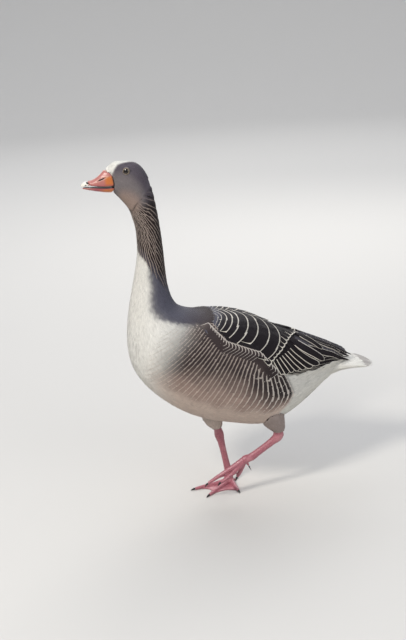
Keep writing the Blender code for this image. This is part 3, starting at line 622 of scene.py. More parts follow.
def body_dye(place, angle, points):
    """Colour, edge colour and strength of the edge of the contour feathers."""
    around, wave = folded(angle), ripple(points, 14 * MM)
    uneven = around + 4 * wave
    face_end, furrow_end, flank_front, flank_end = (
        along_table(table, around) for table in (FACE_END, FURROW_END, FLANK_FRONT, FLANK_END))
    blaze_edge, slate_edge, wing_edge, belly_edge = (
        along_table(table, place) for table in (BLAZE_EDGE, SLATE_EDGE, WING_EDGE, BELLY_EDGE))
    slate_edge = slate_edge + 5 * ripple(points, 3.5 * MM)
    rear = blend(12.8, 15.0, place)
    # face: white blaze, grey cheeks and crown, brown throat
    face = mix(FACE_GREY, CROWN_GREY, blend(85, 48, around + 6 * wave))
    low_face = blend(88, 132, around + 14 * (place - 2)) * blend(0.2, 1.6, place)
    face = mix(face, THROAT_BROWN, low_face)
    blaze = blend(8, -6, around - blaze_edge + 3 * wave) * blend(2.6, 2.0, place)
    face = mix(face, WHITE, blaze)
    # neck: slate behind, grey at the side, cream in front
    neck = mix(SLATE, NECK_GREY, blend(slate_edge - 30, slate_edge, uneven) * 0.5)
    neck = mix(neck, CREAM, blend(slate_edge - 14, slate_edge + 14, uneven))
    neck = mix(FURROW_DARK, neck, blend(furrow_end - 0.1, furrow_end + 0.2, place + 0.1 * wave))
    # trunk
    breast = mix(BREAST, SHOULDER_BROWN, blend(78, 55, around) * blend(9.4, 10.3, place))
    slate = blend(slate_edge + 9, slate_edge - 8, around + 3 * wave) * blend(11.6, 11.0, place)
    breast = mix(breast, SLATE, slate)
    flank = mix(FLANK_DARK, FLANK_REAR, blend(13.0, 15.0, place))
    low_flank = blend(belly_edge - 42 + 24 * rear, belly_edge - 4 + 6 * rear, uneven)
    flank = mix(flank, FLANK_LOW, low_flank)
    flank = mix(flank, BELLY, blend(belly_edge - 6, belly_edge + 10, uneven))
    trunk = mix(breast, flank, blend(flank_front - 1.5, flank_front + 0.6, place + 0.1 * wave))
    vent = blend(-0.12, 0.12, place - flank_end)
    covered = blend(wing_edge - 1, wing_edge - 6, around) * blend(10.8, 11.2, place)
    trunk = mix(mix(trunk, VENT, vent), WING_BLACK, covered)
    tone = mix(neck, trunk, blend(8.2, 9.4, place))
    throat_end = face_end + 0.15 + 0.3 * blend(110, 140, around)
    tone = mix(face, tone, blend(face_end - 0.15, throat_end, place))
    # the pale edges of the flank
    edged = blend(flank_front - 1.7, flank_front - 0.3, place) * (1 - vent)
    edged = edged * blend(belly_edge + 12, belly_edge - 12, around) * (1 - covered)
    rim = mix(FLANK_RIM, BELLY, blend(belly_edge - 40, belly_edge, around))
    rim = mix(rim, CREAM, 0.5 * blend(flank_front + 0.4, flank_front - 1.0, place))
    return tone, mix(rim, WHITE, 0.4 * blend(12.5, 15.0, place)), edged


def wing_dye(place, angle, points):
    """Near-black feathers with clean pale edges, browner at the shoulder."""
    front = 0.8 * blend(11.2, 10.6, place)
    return mix(WING_BLACK, SLATE, front), mix(WING_RIM, NECK_GREY, front), np.ones(place.shape)


def plain_dye(tone, rim=None):
    """The same colours on every feather, with a pale edge where a colour is given for it."""
    def dye(place, angle, points):
        colour = tone * (1 + 0.08 * ripple(points, 9 * MM)[..., None])
        edge = np.broadcast_to(rim or tone, points.shape)
        return colour, edge, np.full(place.shape, 1.0 if rim else 0.0)
    return dye


# ---- finishes ----

def new_node(tree, kind, inputs=(), **settings):
    """A shader node with its settings; inputs are (socket, value or output) pairs."""
    node = tree.nodes.new(kind)
    for name, value in settings.items():
        setattr(node, name, value)
    for socket, value in inputs:
        if isinstance(value, bpy.types.NodeSocket):
            tree.links.new(value, node.inputs[socket])
        else:
            node.inputs[socket].default_value = value
    return node


def new_finish(name, roughness, sheen=0.0, coat=0.0, specular=0.5):
    finish = bpy.data.materials.new(name)
    finish.use_nodes = True
    shader = finish.node_tree.nodes["Principled BSDF"]
    for socket, value in (("Roughness", roughness), ("Sheen Weight", sheen), ("Coat Weight", coat),
                          ("Coat Roughness", 0.15), ("Specular IOR Level", specular)):
        shader.inputs[socket].default_value = value
    return finish, finish.node_tree, shader


def calculate(tree, operation, *values):
    return new_node(tree, "ShaderNodeMath", enumerate(values), operation=operation).outputs[0]


def ramp(tree, value, start, end, first, last):
    """From first, where the value is at start or below it, to last at end or above."""
    return new_node(tree, "ShaderNodeMapRange", (
        ("Value", value), ("From Min", start), ("From Max", end), ("To Min", first),
        ("To Max", last))).outputs[0]


def mixed(tree, share, first, second, kind="MIX"):
    return new_node(tree, "ShaderNodeMix", ((0, share), (6, first), (7, second)), data_type="RGBA",
                    blend_type=kind).outputs[2]


def own_values(tree, layer, output="Color"):
    return new_node(tree, "ShaderNodeAttribute", attribute_name=layer).outputs[output]


def grains(tree, scale, detail=2.0):
    place = new_node(tree, "ShaderNodeTexCoord").outputs["Object"]
    return new_node(tree, "ShaderNodeTexNoise", (
        ("Vector", place), ("Scale", scale), ("Detail", detail))).outputs["Fac"]


def dress(tree, shader, colour, shade, relief, strength, depth):
    """Colour under a shade, on a surface with some relief."""
    grey = new_node(tree, "ShaderNodeCombineColor", [(k, shade) for k in range(3)]).outputs[0]
    tree.links.new(mixed(tree, 1.0, colour, grey, "MULTIPLY"), shader.inputs["Base Color"])
    bump = new_node(tree, "ShaderNodeBump", (
        ("Strength", strength), ("Distance", depth), ("Height", relief)))
    tree.links.new(bump.outputs[0], shader.inputs["Normal"])


def feather_finish(name, roughness, sheen, specular):
    """Barbs that run out from a shaft, and a pale edge where the vane has one."""
    finish, tree, shader = new_finish(name, roughness, sheen=sheen, specular=specular)
    uneven = calculate(tree, "MULTIPLY_ADD", grains(tree, 900.0), 0.5, -0.25)
    edge = calculate(tree, "ADD", own_values(tree, "edge", "Fac"), uneven)
    pale = ramp(tree, edge, 0.75, 1.2, 1.0, 0.0)
    colour = mixed(tree, pale, own_values(tree, "tone"), own_values(tree, "rim"))
    vane = new_node(tree, "ShaderNodeSeparateXYZ", [
        ("Vector", new_node(tree, "ShaderNodeUVMap", uv_map="vane").outputs[0])]).outputs
    from_shaft = calculate(tree, "ABSOLUTE", calculate(tree, "SUBTRACT", vane[0], 0.5))
    slant = calculate(tree, "SUBTRACT", vane[1], calculate(tree, "MULTIPLY", from_shaft, 0.9))
    barb = calculate(tree, "SINE", calculate(tree, "MULTIPLY", slant, BARBS * 2 * pi))
    shade = calculate(tree, "MULTIPLY", calculate(tree, "MULTIPLY_ADD", barb, 0.055, 0.97),
                      ramp(tree, from_shaft, 0.012, 0.03, 0.84, 1.0))
    dress(tree, shader, colour, shade, barb, 0.35, 0.3 * MM)
    return finish


def painted_finish(name, roughness, coat=0.0, grain=260.0, depth=0.4, spread=0.12):
    """Colour from the piece's own tone, with a fine uneven grain in colour and surface."""
    finish, tree, shader = new_finish(name, roughness, coat=coat)
    fine = grains(tree, grain, 6.0)
    shade = calculate(tree, "MULTIPLY_ADD", fine, 2 * spread, 1 - spread)
    dress(tree, shader, own_values(tree, "tone"), shade, fine, 0.4, depth * MM)
    return finish


# ---- skin ----

SKIN_VOXEL = 2.5 * MM
# where the face ends and the bill begins: height over the eyes, and how far ahead of them
FACE_EDGE = ((-42, 30), (-36, 27), (-28, 25), (-15, 26), (-2, 29), (3, 36), (7, 41))
TAIL_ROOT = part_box("tail")[0][0]
THIGH_HIGH, THIGH_LOW = 152 * MM, 138 * MM      # heights between which it takes the thigh's tone
SKIN_NODES = BODY_NODES + ("thigh_left", "thigh_right")


def head_frame(points):
    """How far each point is ahead of the eyes' middle, aside to the right and above it, in mm."""
    offsets = (points - np.array(EYES_MIDDLE)) / MM
    return offsets @ np.array(AHEAD), offsets @ np.array(ASIDE), offsets[:, 2]


def nearest_spots(sheet, points):
    """Place and angle of the sheet's point nearest to each given point."""
    grid = sheet.points.reshape(-1, 3)
    finder = KDTree(len(grid))
    for index, point in enumerate(grid):
        finder.insert(point, index)
    finder.balance()
    found = np.array([finder.find(point)[1] for point in points])
    return found // ROUND / STEPS, ANGLES[found % ROUND]


def coat_depth(place, around):
    """How far the skin lies under the outside of the plumage."""
    furrowed = blend(3.0, 4.2, place) * blend(7.6, 6.4, place)
    winged = blend(10.2, 11.2, place) * blend(138, 120, around)
    return (1.3 + 0.7 * blend(3.0, 4.5, place) + 0.9 * furrowed + 1.4 * winged) * MM


def build_skin(body, finish):
    """The whole skin under the feathers, in one piece; it fills the seats of the eyes and bill."""
    mesh = fused("skin", SKIN_NODES + ("tail",) + FACE_NODES, SKIN_VOXEL)
    points, normals = of_vertices(mesh, "co"), of_vertices(mesh, "normal")
    place, angle = nearest_spots(body, points)
    low = blend(THIGH_HIGH, THIGH_LOW, points[:, 2])
    depth = coat_depth(place, folded(angle)) * (1 - 0.6 * low)
    ahead, aside, up = head_frame(points)
    edge = along_table(FACE_EDGE, up)
    inside_bill = blend(edge - 1, edge + 4, ahead) * (up > -60)
    moved = points - normals * (depth * (0.15 + 0.85 * blend(0.0, 0.7, place)))[:, None]
    moved -= np.outer(0.85 * MM * (ahead - edge) * inside_bill, AHEAD)
    moved -= np.outer(0.4 * MM * aside * inside_bill, ASIDE)
    moved[:, 2] -= 0.4 * MM * (up + 18) * inside_bill
    # the tail's core ends inside its feathers
    moved[:, 0] -= 0.14 * np.maximum(points[:, 0] - TAIL_ROOT, 0)
    moved[:, 1] *= 1 - 0.1 * blend(TAIL_ROOT, TAIL_ROOT + 30 * MM, points[:, 0])
    move_to(mesh, moved)
    mesh = baked_mesh(mesh, "SMOOTH", factor=0.5, iterations=4)
    tone, rim, edged = body_dye(place, angle, points)
    # the skin is painted a little darker than the feathers, as painted shade in the gaps between
    # them; low down it takes the left thigh's shaded tone
    colour = mix(mix(tone, rim, 0.3 * edged) * 0.92, THIGH_TONE_LIT_AND_SHADED["left"], low)
    paint(mesh, mix(colour, VENT, blend(TAIL_ROOT - 3 * MM, TAIL_ROOT + 7 * MM, points[:, 0])))
    place_piece("skin", mesh, finish, "feathers_grey", *SKIN_NODES)


# ---- plumage of the head, neck and trunk ----

EYE_CLEAR = 8.4 * MM        # bare round an eye's middle
# millimetres by place
SOFT_SPACING = ((5.2, 2.5), (8.0, 3.1), (10.0, 3.7), (13.0, 4.1), (17.0, 4.5))
FLANK_GAP = ((10, 7.0), (13, 8.5), (15, 10.5))
FLANK_PITCH = ((10, 9.0), (13, 11.0), (15, 12.0))
BAR_WIDTH = ((10.5, 1.5), (12.0, 2.0), (15.0, 2.6))
# how far back the flank's bars bow at its rear, by degrees round the body
BAR_BOW = ((55, -0.25), (79, 0.0), (90, 0.4), (101, 0.7), (112, 0.62), (124, 0.35), (145, 0.0))


def even(width):
    """The table of a spacing that is the same everywhere."""
    return ((0, width),)


def near_eye(points):
    """How far each point is from the nearer eye's middle."""
    eyes = [np.array(middle(name)) for name in ("eye_left", "eye_right")]
    return np.minimum(*(np.linalg.norm(points - eye, axis=-1) for eye in eyes))


def build_head(body, finish):
    """Short plumage on the face and crown, clear of the eyes and the bill."""
    tree = tree_of(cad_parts["head"].data)
    place, angle, _ = rows = both_sides(body, 0.05, 3.9, even(2.3), even(2.0), jitter=0.12)
    points = body.read("points", place, angle)
    keep = (place < along_table(FACE_END, folded(angle)) + 0.1) & (near_eye(points) > EYE_CLEAR)
    keep &= np.array([tree.find_nearest(point)[3] < 2.6 * MM for point in points])
    place, angle, step = rows[:, keep]
    many = spots(place, angle, length=np.clip(2.7 * step, 4.0, 8.0), width=3.1,
                 turn=draw.normal(0, 0.12, len(place)), root=0.9,
                 tip=draw.uniform(0.0, 0.2, len(place)), thick=0.16, round_tip=0.25, taper=0.45,
                 cup=0.02)
    lay("coat_head", TUFT, body, many, finish, "feathers_grey", body_dye)


def build_trunk(body, finish):
    """Soft feathers on the lower neck, breast, belly and vent."""
    place, angle, step = both_sides(body, 5.2, 19.2, SOFT_SPACING, SOFT_SPACING)
    many = spots(place, angle, length=np.clip(3.6 * step, 8, 17),
                 width=1.35 * along_table(SOFT_SPACING, place),
                 turn=draw.normal(0, 0.15, len(place)), root=1.3,
                 tip=draw.uniform(-0.15, 0.15, len(place)), thick=0.18, round_tip=0.12, taper=0.6,
                 cup=0.02)
    around = folded(angle)
    free = place > along_table(FURROW_END, around) - 0.1
    free &= (place < 10.4) | (around > along_table(WING_LINE, place) + 4)
    free &= (place < 15.3) | (around > 76)
    front = place < along_table(FLANK_FRONT, around) + 0.3
    vent = place > along_table(FLANK_END, around) - 0.1
    low = around > along_table(BELLY_EDGE, place) - 4
    for name, region, slot in (
            ("coat_neck", place < 8.4, "feathers_pale"),
            ("coat_breast", (place >= 8.4) & front, "feathers_pale"),
            ("coat_belly", ~front & ~vent & low, "feathers_pale"),
            ("coat_vent", vent, "feathers_white")):
        lay(name, TUFT, body, chosen(many, free & region), finish, slot, body_dye)


def bar_bow(place, around):
    """How far back the flank's bars bow, which they do more towards its rear."""
    return along_table(BAR_BOW, around) * blend(11.8, 15.0, place)


def flank_bars(body):
    """Pale-edged feathers whose tips line up in bars down the right flank."""
    place, angle, step = rows_of_spots(body, 8.9, 15.3, FLANK_GAP, FLANK_PITCH, 150, 40, 0.03)
    around = folded(angle)
    bend = (bar_bow(place, around + 2) - bar_bow(place, around - 2)) / radians(4)
    place = place + bar_bow(place, around)
    halfway = place + 1.5 * step * MM / body.read("run", place, angle)
    lean = 0.06
    upper, lower = (body.read("run", halfway, angle + aside) for aside in (-lean, lean))
    tips = place + 2 * 3.0 * step * MM / (upper + lower)
    bend = bend + (tips - place) * np.log(lower / upper) / (2 * lean)
    rim = along_table(BAR_WIDTH, tips) * draw.uniform(0.85, 1.15, len(place))
    slant = bend * body.read("run", tips, angle) / body.read("bow", tips, angle)
    many = spots(place, angle, length=3.0 * step, width=2.1 * along_table(FLANK_PITCH, place),
                 turn=draw.normal(0, 0.015, len(place)), root=2.7,
                 tip=draw.uniform(0.0, 0.08, len(place)), thick=0.35, round_tip=0.06, cup=0.01,
                 slant=slant, side_rim=0.01, rim=rim)
    keep = tips < along_table(FLANK_END, around) + 0.05
    keep &= around < along_table(BELLY_EDGE, place) + 8
    keep &= place > along_table(FLANK_FRONT, around) - 1.6
    keep &= (tips > 11) | (around > along_table(SLATE_EDGE, tips) + 8)
    keep &= around > along_table(WING_LINE, tips) - np.where(tips < 14.1, 3, -4)
    return chosen(many, keep)


def wing_lip(body):
    """Flank feathers that curl up over the wing's lower edge, on the right side."""
    line = np.arange(10.35, 14.25, 0.16)
    roots = np.stack([line - 0.35, along_table(WING_LINE, line) + 15], 1)
    tips = np.stack([line + 0.22, along_table(WING_LINE, line + 0.22) - 2.5], 1)
    return aimed(body, roots, tips, 17, root=1.6, tip=-0.9, thick=0.5, round_tip=0.08, cup=0.01,
                 side_rim=0.3, rim=1.9)


def lip_dye(place, angle, points):
    """The flank's colours from a little lower down, with a pale edge all along."""
    below = np.where(np.sin(angle) > 0, 1, -1) * radians(14)
    tone, rim, _ = body_dye(place, angle + below, points)
    return tone, mix(rim, WHITE, 0.3), np.ones(place.shape)


def each_side(*groups):
    """Each side's name with its feathers, which are given for the right side."""
    yield "right", *groups
    yield "left", *map(mirrored, groups)


def build_flanks(body, finish):
    for side, bars, lip in each_side(flank_bars(body), wing_lip(body)):
        lay("coat_flank_" + side, BODY_VANE, body, bars, finish, "feathers_grey", body_dye)
        lay("coat_wing_edge_" + side, BODY_VANE, body, lip, finish, "feathers_grey", lip_dye)


# ---- furrowed neck ----

FURROW_GAP = 8.8 * MM
FURROW_STEP = 4.5 * MM
# share of the gap from the crest, width and sink in millimetres, and 1 for the pale crest itself
FURROW_BANDS = ((0.0, 1.7, 0.0, 1), (0.24, 4.4, 0.4, 0), (-0.24, 4.4, 0.4, 0), (0.5, 5.2, 0.9, 0))
# degrees between a furrow and the lie of the neck, by degrees round it, high up and at its foot
FURROW_HIGH = ((0, 46), (30, 48), (70, 42), (110, 26), (150, 8), (180, 0))
FURROW_LOW = ((0, 26), (30, 24), (70, 17), (110, 8), (150, 2), (180, 0))
NECK_TOP, NECK_FOOT = 3.7, 7.6


def furrow_slope(place, around):
    """How steeply the furrows run back, as an angle from the lie of the neck."""
    low, high = (along_table(table, around) for table in (FURROW_LOW, FURROW_HIGH))
    return np.radians(low + (high - low) * blend(5.4, 3.6, place))


def furrow_lines(body):
    """Lines that the ridges of the neck follow, traced up from its foot and from the nape line."""
    ends = [(NECK_FOOT, around) for around in np.arange(4.0, 180.0, 17.5)]
    place = NECK_FOOT
    while place > NECK_TOP:
        place -= 2.0 * FURROW_GAP / body.read("run", place, 0.05)
        ends.append((place, 3.0))
    for place, around in ends:
        line = []
        while place > 2.5 and around < 178:
            line.append((place, around))
            slope = furrow_slope(place, around)
            spot = place, radians(around)
            place -= FURROW_STEP * cos(slope) / body.read("run", *spot)
            around += np.degrees(FURROW_STEP * sin(slope) / body.read("bow", *spot))
        if len(line) > 1:
            yield np.array(line[::-1]).T


def furrow_feathers(body):
    """Pale crests of slender feathers with rows of dark ones sunk between them."""
    for side in (1, -1):
        for place, around in furrow_lines(body):
            inside = place > along_table(FACE_END, around) - 0.12
            inside &= place < along_table(FURROW_END, around) + 0.05
            place, around = place[inside], around[inside]
            if not len(place):
                continue
            count, phase = len(place), draw.uniform(0, 6)
            bow = body.read("bow", place, np.radians(around)) / MM
            for shift, wide, sink, crest in FURROW_BANDS:
                wave = 0.7 * np.sin(place * 7 + phase) + draw.normal(0, 0.15, count)
                angle = np.radians(around) + (shift * FURROW_GAP / MM + wave) / bow
                many = spots(place + draw.uniform(-0.02, 0.02, count), angle,
                             length=draw.uniform(10.5, 12.5, count), width=wide,
                             turn=draw.normal(0, 0.05, count) - furrow_slope(place, around),
                             root=1.6 + sink, tip=sink, thick=1.0 if crest else 0.6, round_tip=0.2,
                             taper=0.6, cup=0.10, rim=crest)
                yield many if side > 0 else mirrored(many)


def build_furrows(body, finish):
    many = together(list(furrow_feathers(body)))
    crest = many["rim"] > 0

    def furrow_dye(place, angle, points):
        around = folded(angle)
        foot = blend(-0.6, 0.0, place - along_table(FURROW_END, around))
        dark = mix(FURROW_DARK, SLATE, 0.6 * foot)
        pale = mix(FURROW_PALE, CREAM, 0.5 * blend(150, 172, around))
        pale = mix(pale, FURROW_DARK, 0.5 * blend(70, 10, around))
        tone = np.where(crest[:, None, None], pale, dark)
        throat = blend(0.7, 0.0, place - along_table(FACE_END, around))
        face, _, _ = body_dye(np.minimum(place, 3.0), angle, points)
        return mix(tone, face, 0.85 * throat), dark, np.zeros(place.shape)

    lay("coat_neck_furrows", SMALL, body, many, finish, "feathers_neck", furrow_dye)


# ---- wings ----

# where each row of feather tips crosses the wing's middle, and how wide its pale edge is
WING_ROWS = ((10.62, 0.9), (10.82, 0.9), (11.02, 1.0), (11.3, 1.6), (11.65, 1.9), (12.0, 2.1),
             (12.55, 2.2), (13.1, 2.2), (13.7, 2.2), (14.3, 2.0))
SMALL_ROWS = 3
ROW_MIDDLE, ROW_SPREAD, ROW_BOW = 33.0, 28.0, 0.42      # degrees, degrees and places
BAR_TIPS = ((15.75, 9), (15.6, 13), (15.4, 18), (15.2, 23), (15.0, 29), (14.85, 34), (14.7, 40),
            (14.57, 45), (14.45, 50), (14.32, 54), (14.2, 58), (14.1, 62), (14.0, 67))
# lower edge of each long feather, from where it comes out to its tip
SECONDARIES = (((14.05, 62), (14.7, 77.5)), ((14.17, 59), (14.95, 77.5)),
               ((14.29, 56.5), (15.25, 76)), ((14.4, 54), (15.6, 75.5)), ((14.52, 51), (16.0, 76)),
               ((14.65, 48), (16.4, 76.5)), ((14.8, 44), (16.85, 76)))
PRIMARIES = (((14.1, 74), (16.3, 81)), ((14.2, 73), (16.9, 84)), ((14.3, 73), (17.3, 85)),
             ((14.4, 72), (17.7, 86)), ((14.6, 71), (18.1, 86)), ((14.8, 70), (18.5, 86)),
             ((15.0, 68), (19.0, 84)), ((15.1, 65), (19.3, 77)), ((15.2, 62), (19.6, 70)))
# the same for the inner ones, with width, sink and edge in millimetres, undermost first
TERTIALS = (((15.6, 50), (19.3, 80), 21.0, 1.9, 1.5), ((15.9, 14), (19.35, 52), 20.0, 1.5, 1.5),
            ((15.5, 9), (18.5, 38), 21.0, 1.35, 1.2), ((15.9, 4), (19.6, 24), 18.0, 1.2, 0.6),
            ((15.0, 38), (17.2, 71), 21.0, 0.9, 1.7), ((15.45, 21), (17.1, 49), 20.0, 0.4, 1.7))


def tip_line(row, around):
    """Place of a row's feather tips: the rows bow backwards half way down the wing."""
    return row - ROW_BOW * ((around - ROW_MIDDLE) / ROW_SPREAD) ** 2


def wing_coverts(wings):
    groups = []
    for number, (row, rim) in enumerate(WING_ROWS):
        small = number < SMALL_ROWS
        pitch, width, reach, clear = (8.0, 17.0, 0.4, 7) if small else (12.0, 36.0, 0.95, 8)
        around = np.arange(2.0 + (number % 2) * pitch / 2, 70, pitch)
        around = around + draw.uniform(-0.6, 0.6, len(around))
        around = around[around < along_table(WING_LINE, tip_line(row, around)) - clear]
        place = tip_line(row, around) + draw.uniform(-0.015, 0.015, len(around))
        roots = np.stack([place - reach, ROW_MIDDLE + (around - ROW_MIDDLE) * 0.95], 1)
        slope = -2 * ROW_BOW * (around - ROW_MIDDLE) / ROW_SPREAD ** 2 * 180 / pi
        run, bow = (wings.read(what, place, np.radians(around)) for what in ("run", "bow"))
        groups.append(aimed(wings, roots, np.stack([place, around], 1), width,
                            slant=slope * run / bow, root=3.0 - 0.05 * number,
                            tip=1.0 - 0.08 * number, thick=0.5, round_tip=0.06, cup=0.01, rim=rim,
                            side_rim=0.12))
    tips = np.array(BAR_TIPS)
    groups.append(aimed(wings, tips - (0.6, 10.0), tips, 12.0, root=2.6, tip=0.0, thick=0.5,
                        round_tip=0.08, cup=0.02, rim=2.6, side_rim=0.25))
    return together(groups)


def long_feathers(wings, table, longer, width, **given):
    """Feathers with their lower edges on given lines, and roots further in by a share of these."""
    starts, ends = (np.array([row[k] for row in table], float) for k in (0, 1))
    return aimed(wings, starts + (starts - ends) * longer, ends, width, lean=0.5, **given)


def flight_feathers(wings):
    outer, inner = (np.linspace(0, 1, len(table)) for table in (PRIMARIES, SECONDARIES))
    width, sink, rim = np.array([row[2:] for row in TERTIALS]).T
    return together((
        long_feathers(wings, PRIMARIES, 0.0, 13.0, root=4.0, tip=3.7 - 0.8 * outer, thick=0.5,
                      tilt=0.5, round_tip=0.12, taper=0.4, cup=0.0, rim=0.9),
        long_feathers(wings, SECONDARIES, 0.4, 15.0, root=3.3 - 0.8 * inner, tip=2.8 - 0.9 * inner,
                      thick=0.4, tilt=0.7, round_tip=0.07, cup=0.0, rim=1.5),
        long_feathers(wings, TERTIALS, 0.3, width, root=sink + 0.8, tip=sink, thick=0.6, tilt=0.3,
                      round_tip=0.13, taper=0.2, cup=0.01, rim=rim)))


def build_wings(wings, finish):
    coverts, flights = wing_coverts(wings), flight_feathers(wings)
    # the back shows between the folded wings
    place, angle, _ = both_sides(wings, 14.2, 18.4, even(11.0), even(9.0), 52, jitter=0.12)
    under, front = blend(12, 20, folded(angle)), 1.6 * blend(15.6, 14.8, place)
    rump = spots(place, angle, length=34.0, width=17.0, turn=draw.normal(0, 0.05, len(place)),
                 root=3.6 + under + front, tip=1.6 + 2 * under + front, thick=0.5, round_tip=0.12,
                 cup=0.02, side_rim=0.3, rim=0.9)
    dye = plain_dye(RUMP_GREY, NECK_GREY)
    lay("coat_rump", BODY_VANE, wings, rump, finish, "feathers_dark", dye)
    for side, coverts, flights in each_side(coverts, flights):
        lay("wing_coverts_" + side, LARGE, wings, coverts, finish, "feathers_dark", wing_dye)
        lay("wing_flights_" + side, FLIGHT, wings, flights, finish, "feathers_dark", wing_dye,
            "wing_" + side, "flight_" + side)


# ---- tail ----

TAIL_VANES = 9              # to a side, above and below


def build_tail(finish):
    tail = tail_sheet()
    share = np.linspace(0, 1, TAIL_VANES)
    roots = np.stack([0.3 + 0 * share, 3 + 45 * share], 1)
    tips = np.stack([2.95 - 0.6 * share ** 2, 4 + 66 * share], 1)
    vane = {"width": 17.0, "thick": 0.7, "round_tip": 0.14, "cup": 0.01, "rim": 4.0,
            "side_rim": 0.4}
    fan = aimed(tail, roots, tips, root=1.0, tip=1.1 * share - 0.3, **vane)
    under = [ends * (1, -1) + (0, 180) for ends in (roots, tips)]
    low = aimed(tail, *under, root=1.5, tip=1.2, **vane)
    many = together((fan, mirrored(fan), low, mirrored(low)))
    dye = plain_dye(TAIL_GREY, WHITE)
    lay("tail_feathers", FLIGHT, tail, many, finish, "feathers_white", dye, "tail")
    place, angle, _ = both_sides(tail, 0.02, 1.7, even(4.6), even(4.6))
    soft = spots(place, angle, length=16.0, width=7.0, turn=draw.normal(0, 0.1, len(place)),
                 root=0.3, tip=draw.uniform(-0.5, -0.2, len(place)), thick=0.3, round_tip=0.2,
                 taper=0.4, cup=0.03)
    lay("tail_coverts", TUFT, tail, soft, finish, "feathers_white", plain_dye(VENT))


# ---- thighs ----

def build_thighs(finish):
    trunk = tree_of(fused("trunk", ("trunk",)))
    for side in ("left", "right"):
        node = "thigh_" + side
        form = fused(node, (node,))
        spread = of_vertices(form, "co")
        level = spread[:, 2]
        top = spread[level > level.max() - 10 * MM].mean(axis=0)
        knee = spread[level < level.min() + 4 * MM].mean(axis=0)
        sheet = leg_sheet(tree_of(form), top, knee, 18 * MM)
        place, angle, _ = rows = rows_of_spots(sheet, 0.1, 2.7, even(3.4), even(3.4), 360)
        free = []
        for point in sheet.read("points", place, angle):
            spot, way, _, _ = trunk.find_nearest(point)
            free.append((Vector(point) - spot).dot(way) > -2 * MM)
        place, angle, _ = rows[:, free]
        many = spots(place, angle, length=13.0, width=4.6, turn=draw.normal(0, 0.15, len(place)),
                     root=1.9, tip=draw.uniform(-0.3, 0.2, len(place)), thick=0.2, round_tip=0.12,
                     taper=0.6, cup=0.04)
        # each thigh is painted in its own light: shade on the left one, sunlight on the right one
        dye = plain_dye(THIGH_TONE_LIT_AND_SHADED[side])
        lay("coat_thigh_" + side, TUFT, sheet, many, finish, "feathers_grey", dye)


# ---- bill ----

BILL_ROSE = (0.42, 0.145, 0.125)
BILL_ORANGE = (0.50, 0.145, 0.032)
BILL_PAINTED_HIGHLIGHT = (0.72, 0.52, 0.40)
BILL_MAGENTA_SHADE = (0.33, 0.070, 0.085)
NAIL_PALE = (0.80, 0.76, 0.68)
# black horn of the claws and the nail's spot, also used as painted shade in the nostril, the gape
# and under the nail
HORN_BLACK_AND_SHADE = (0.018, 0.012, 0.012)


def refined(node, levels):
    """A smooth, closely divided copy of a solid."""
    bm = joined_nodes((node,))
    bmesh.ops.join_triangles(bm, faces=bm.faces, angle_face_threshold=radians(40),
                             angle_shape_threshold=radians(60))
    return baked_mesh(mesh_of(bm, node), "SUBSURF", levels=levels, render_levels=levels)


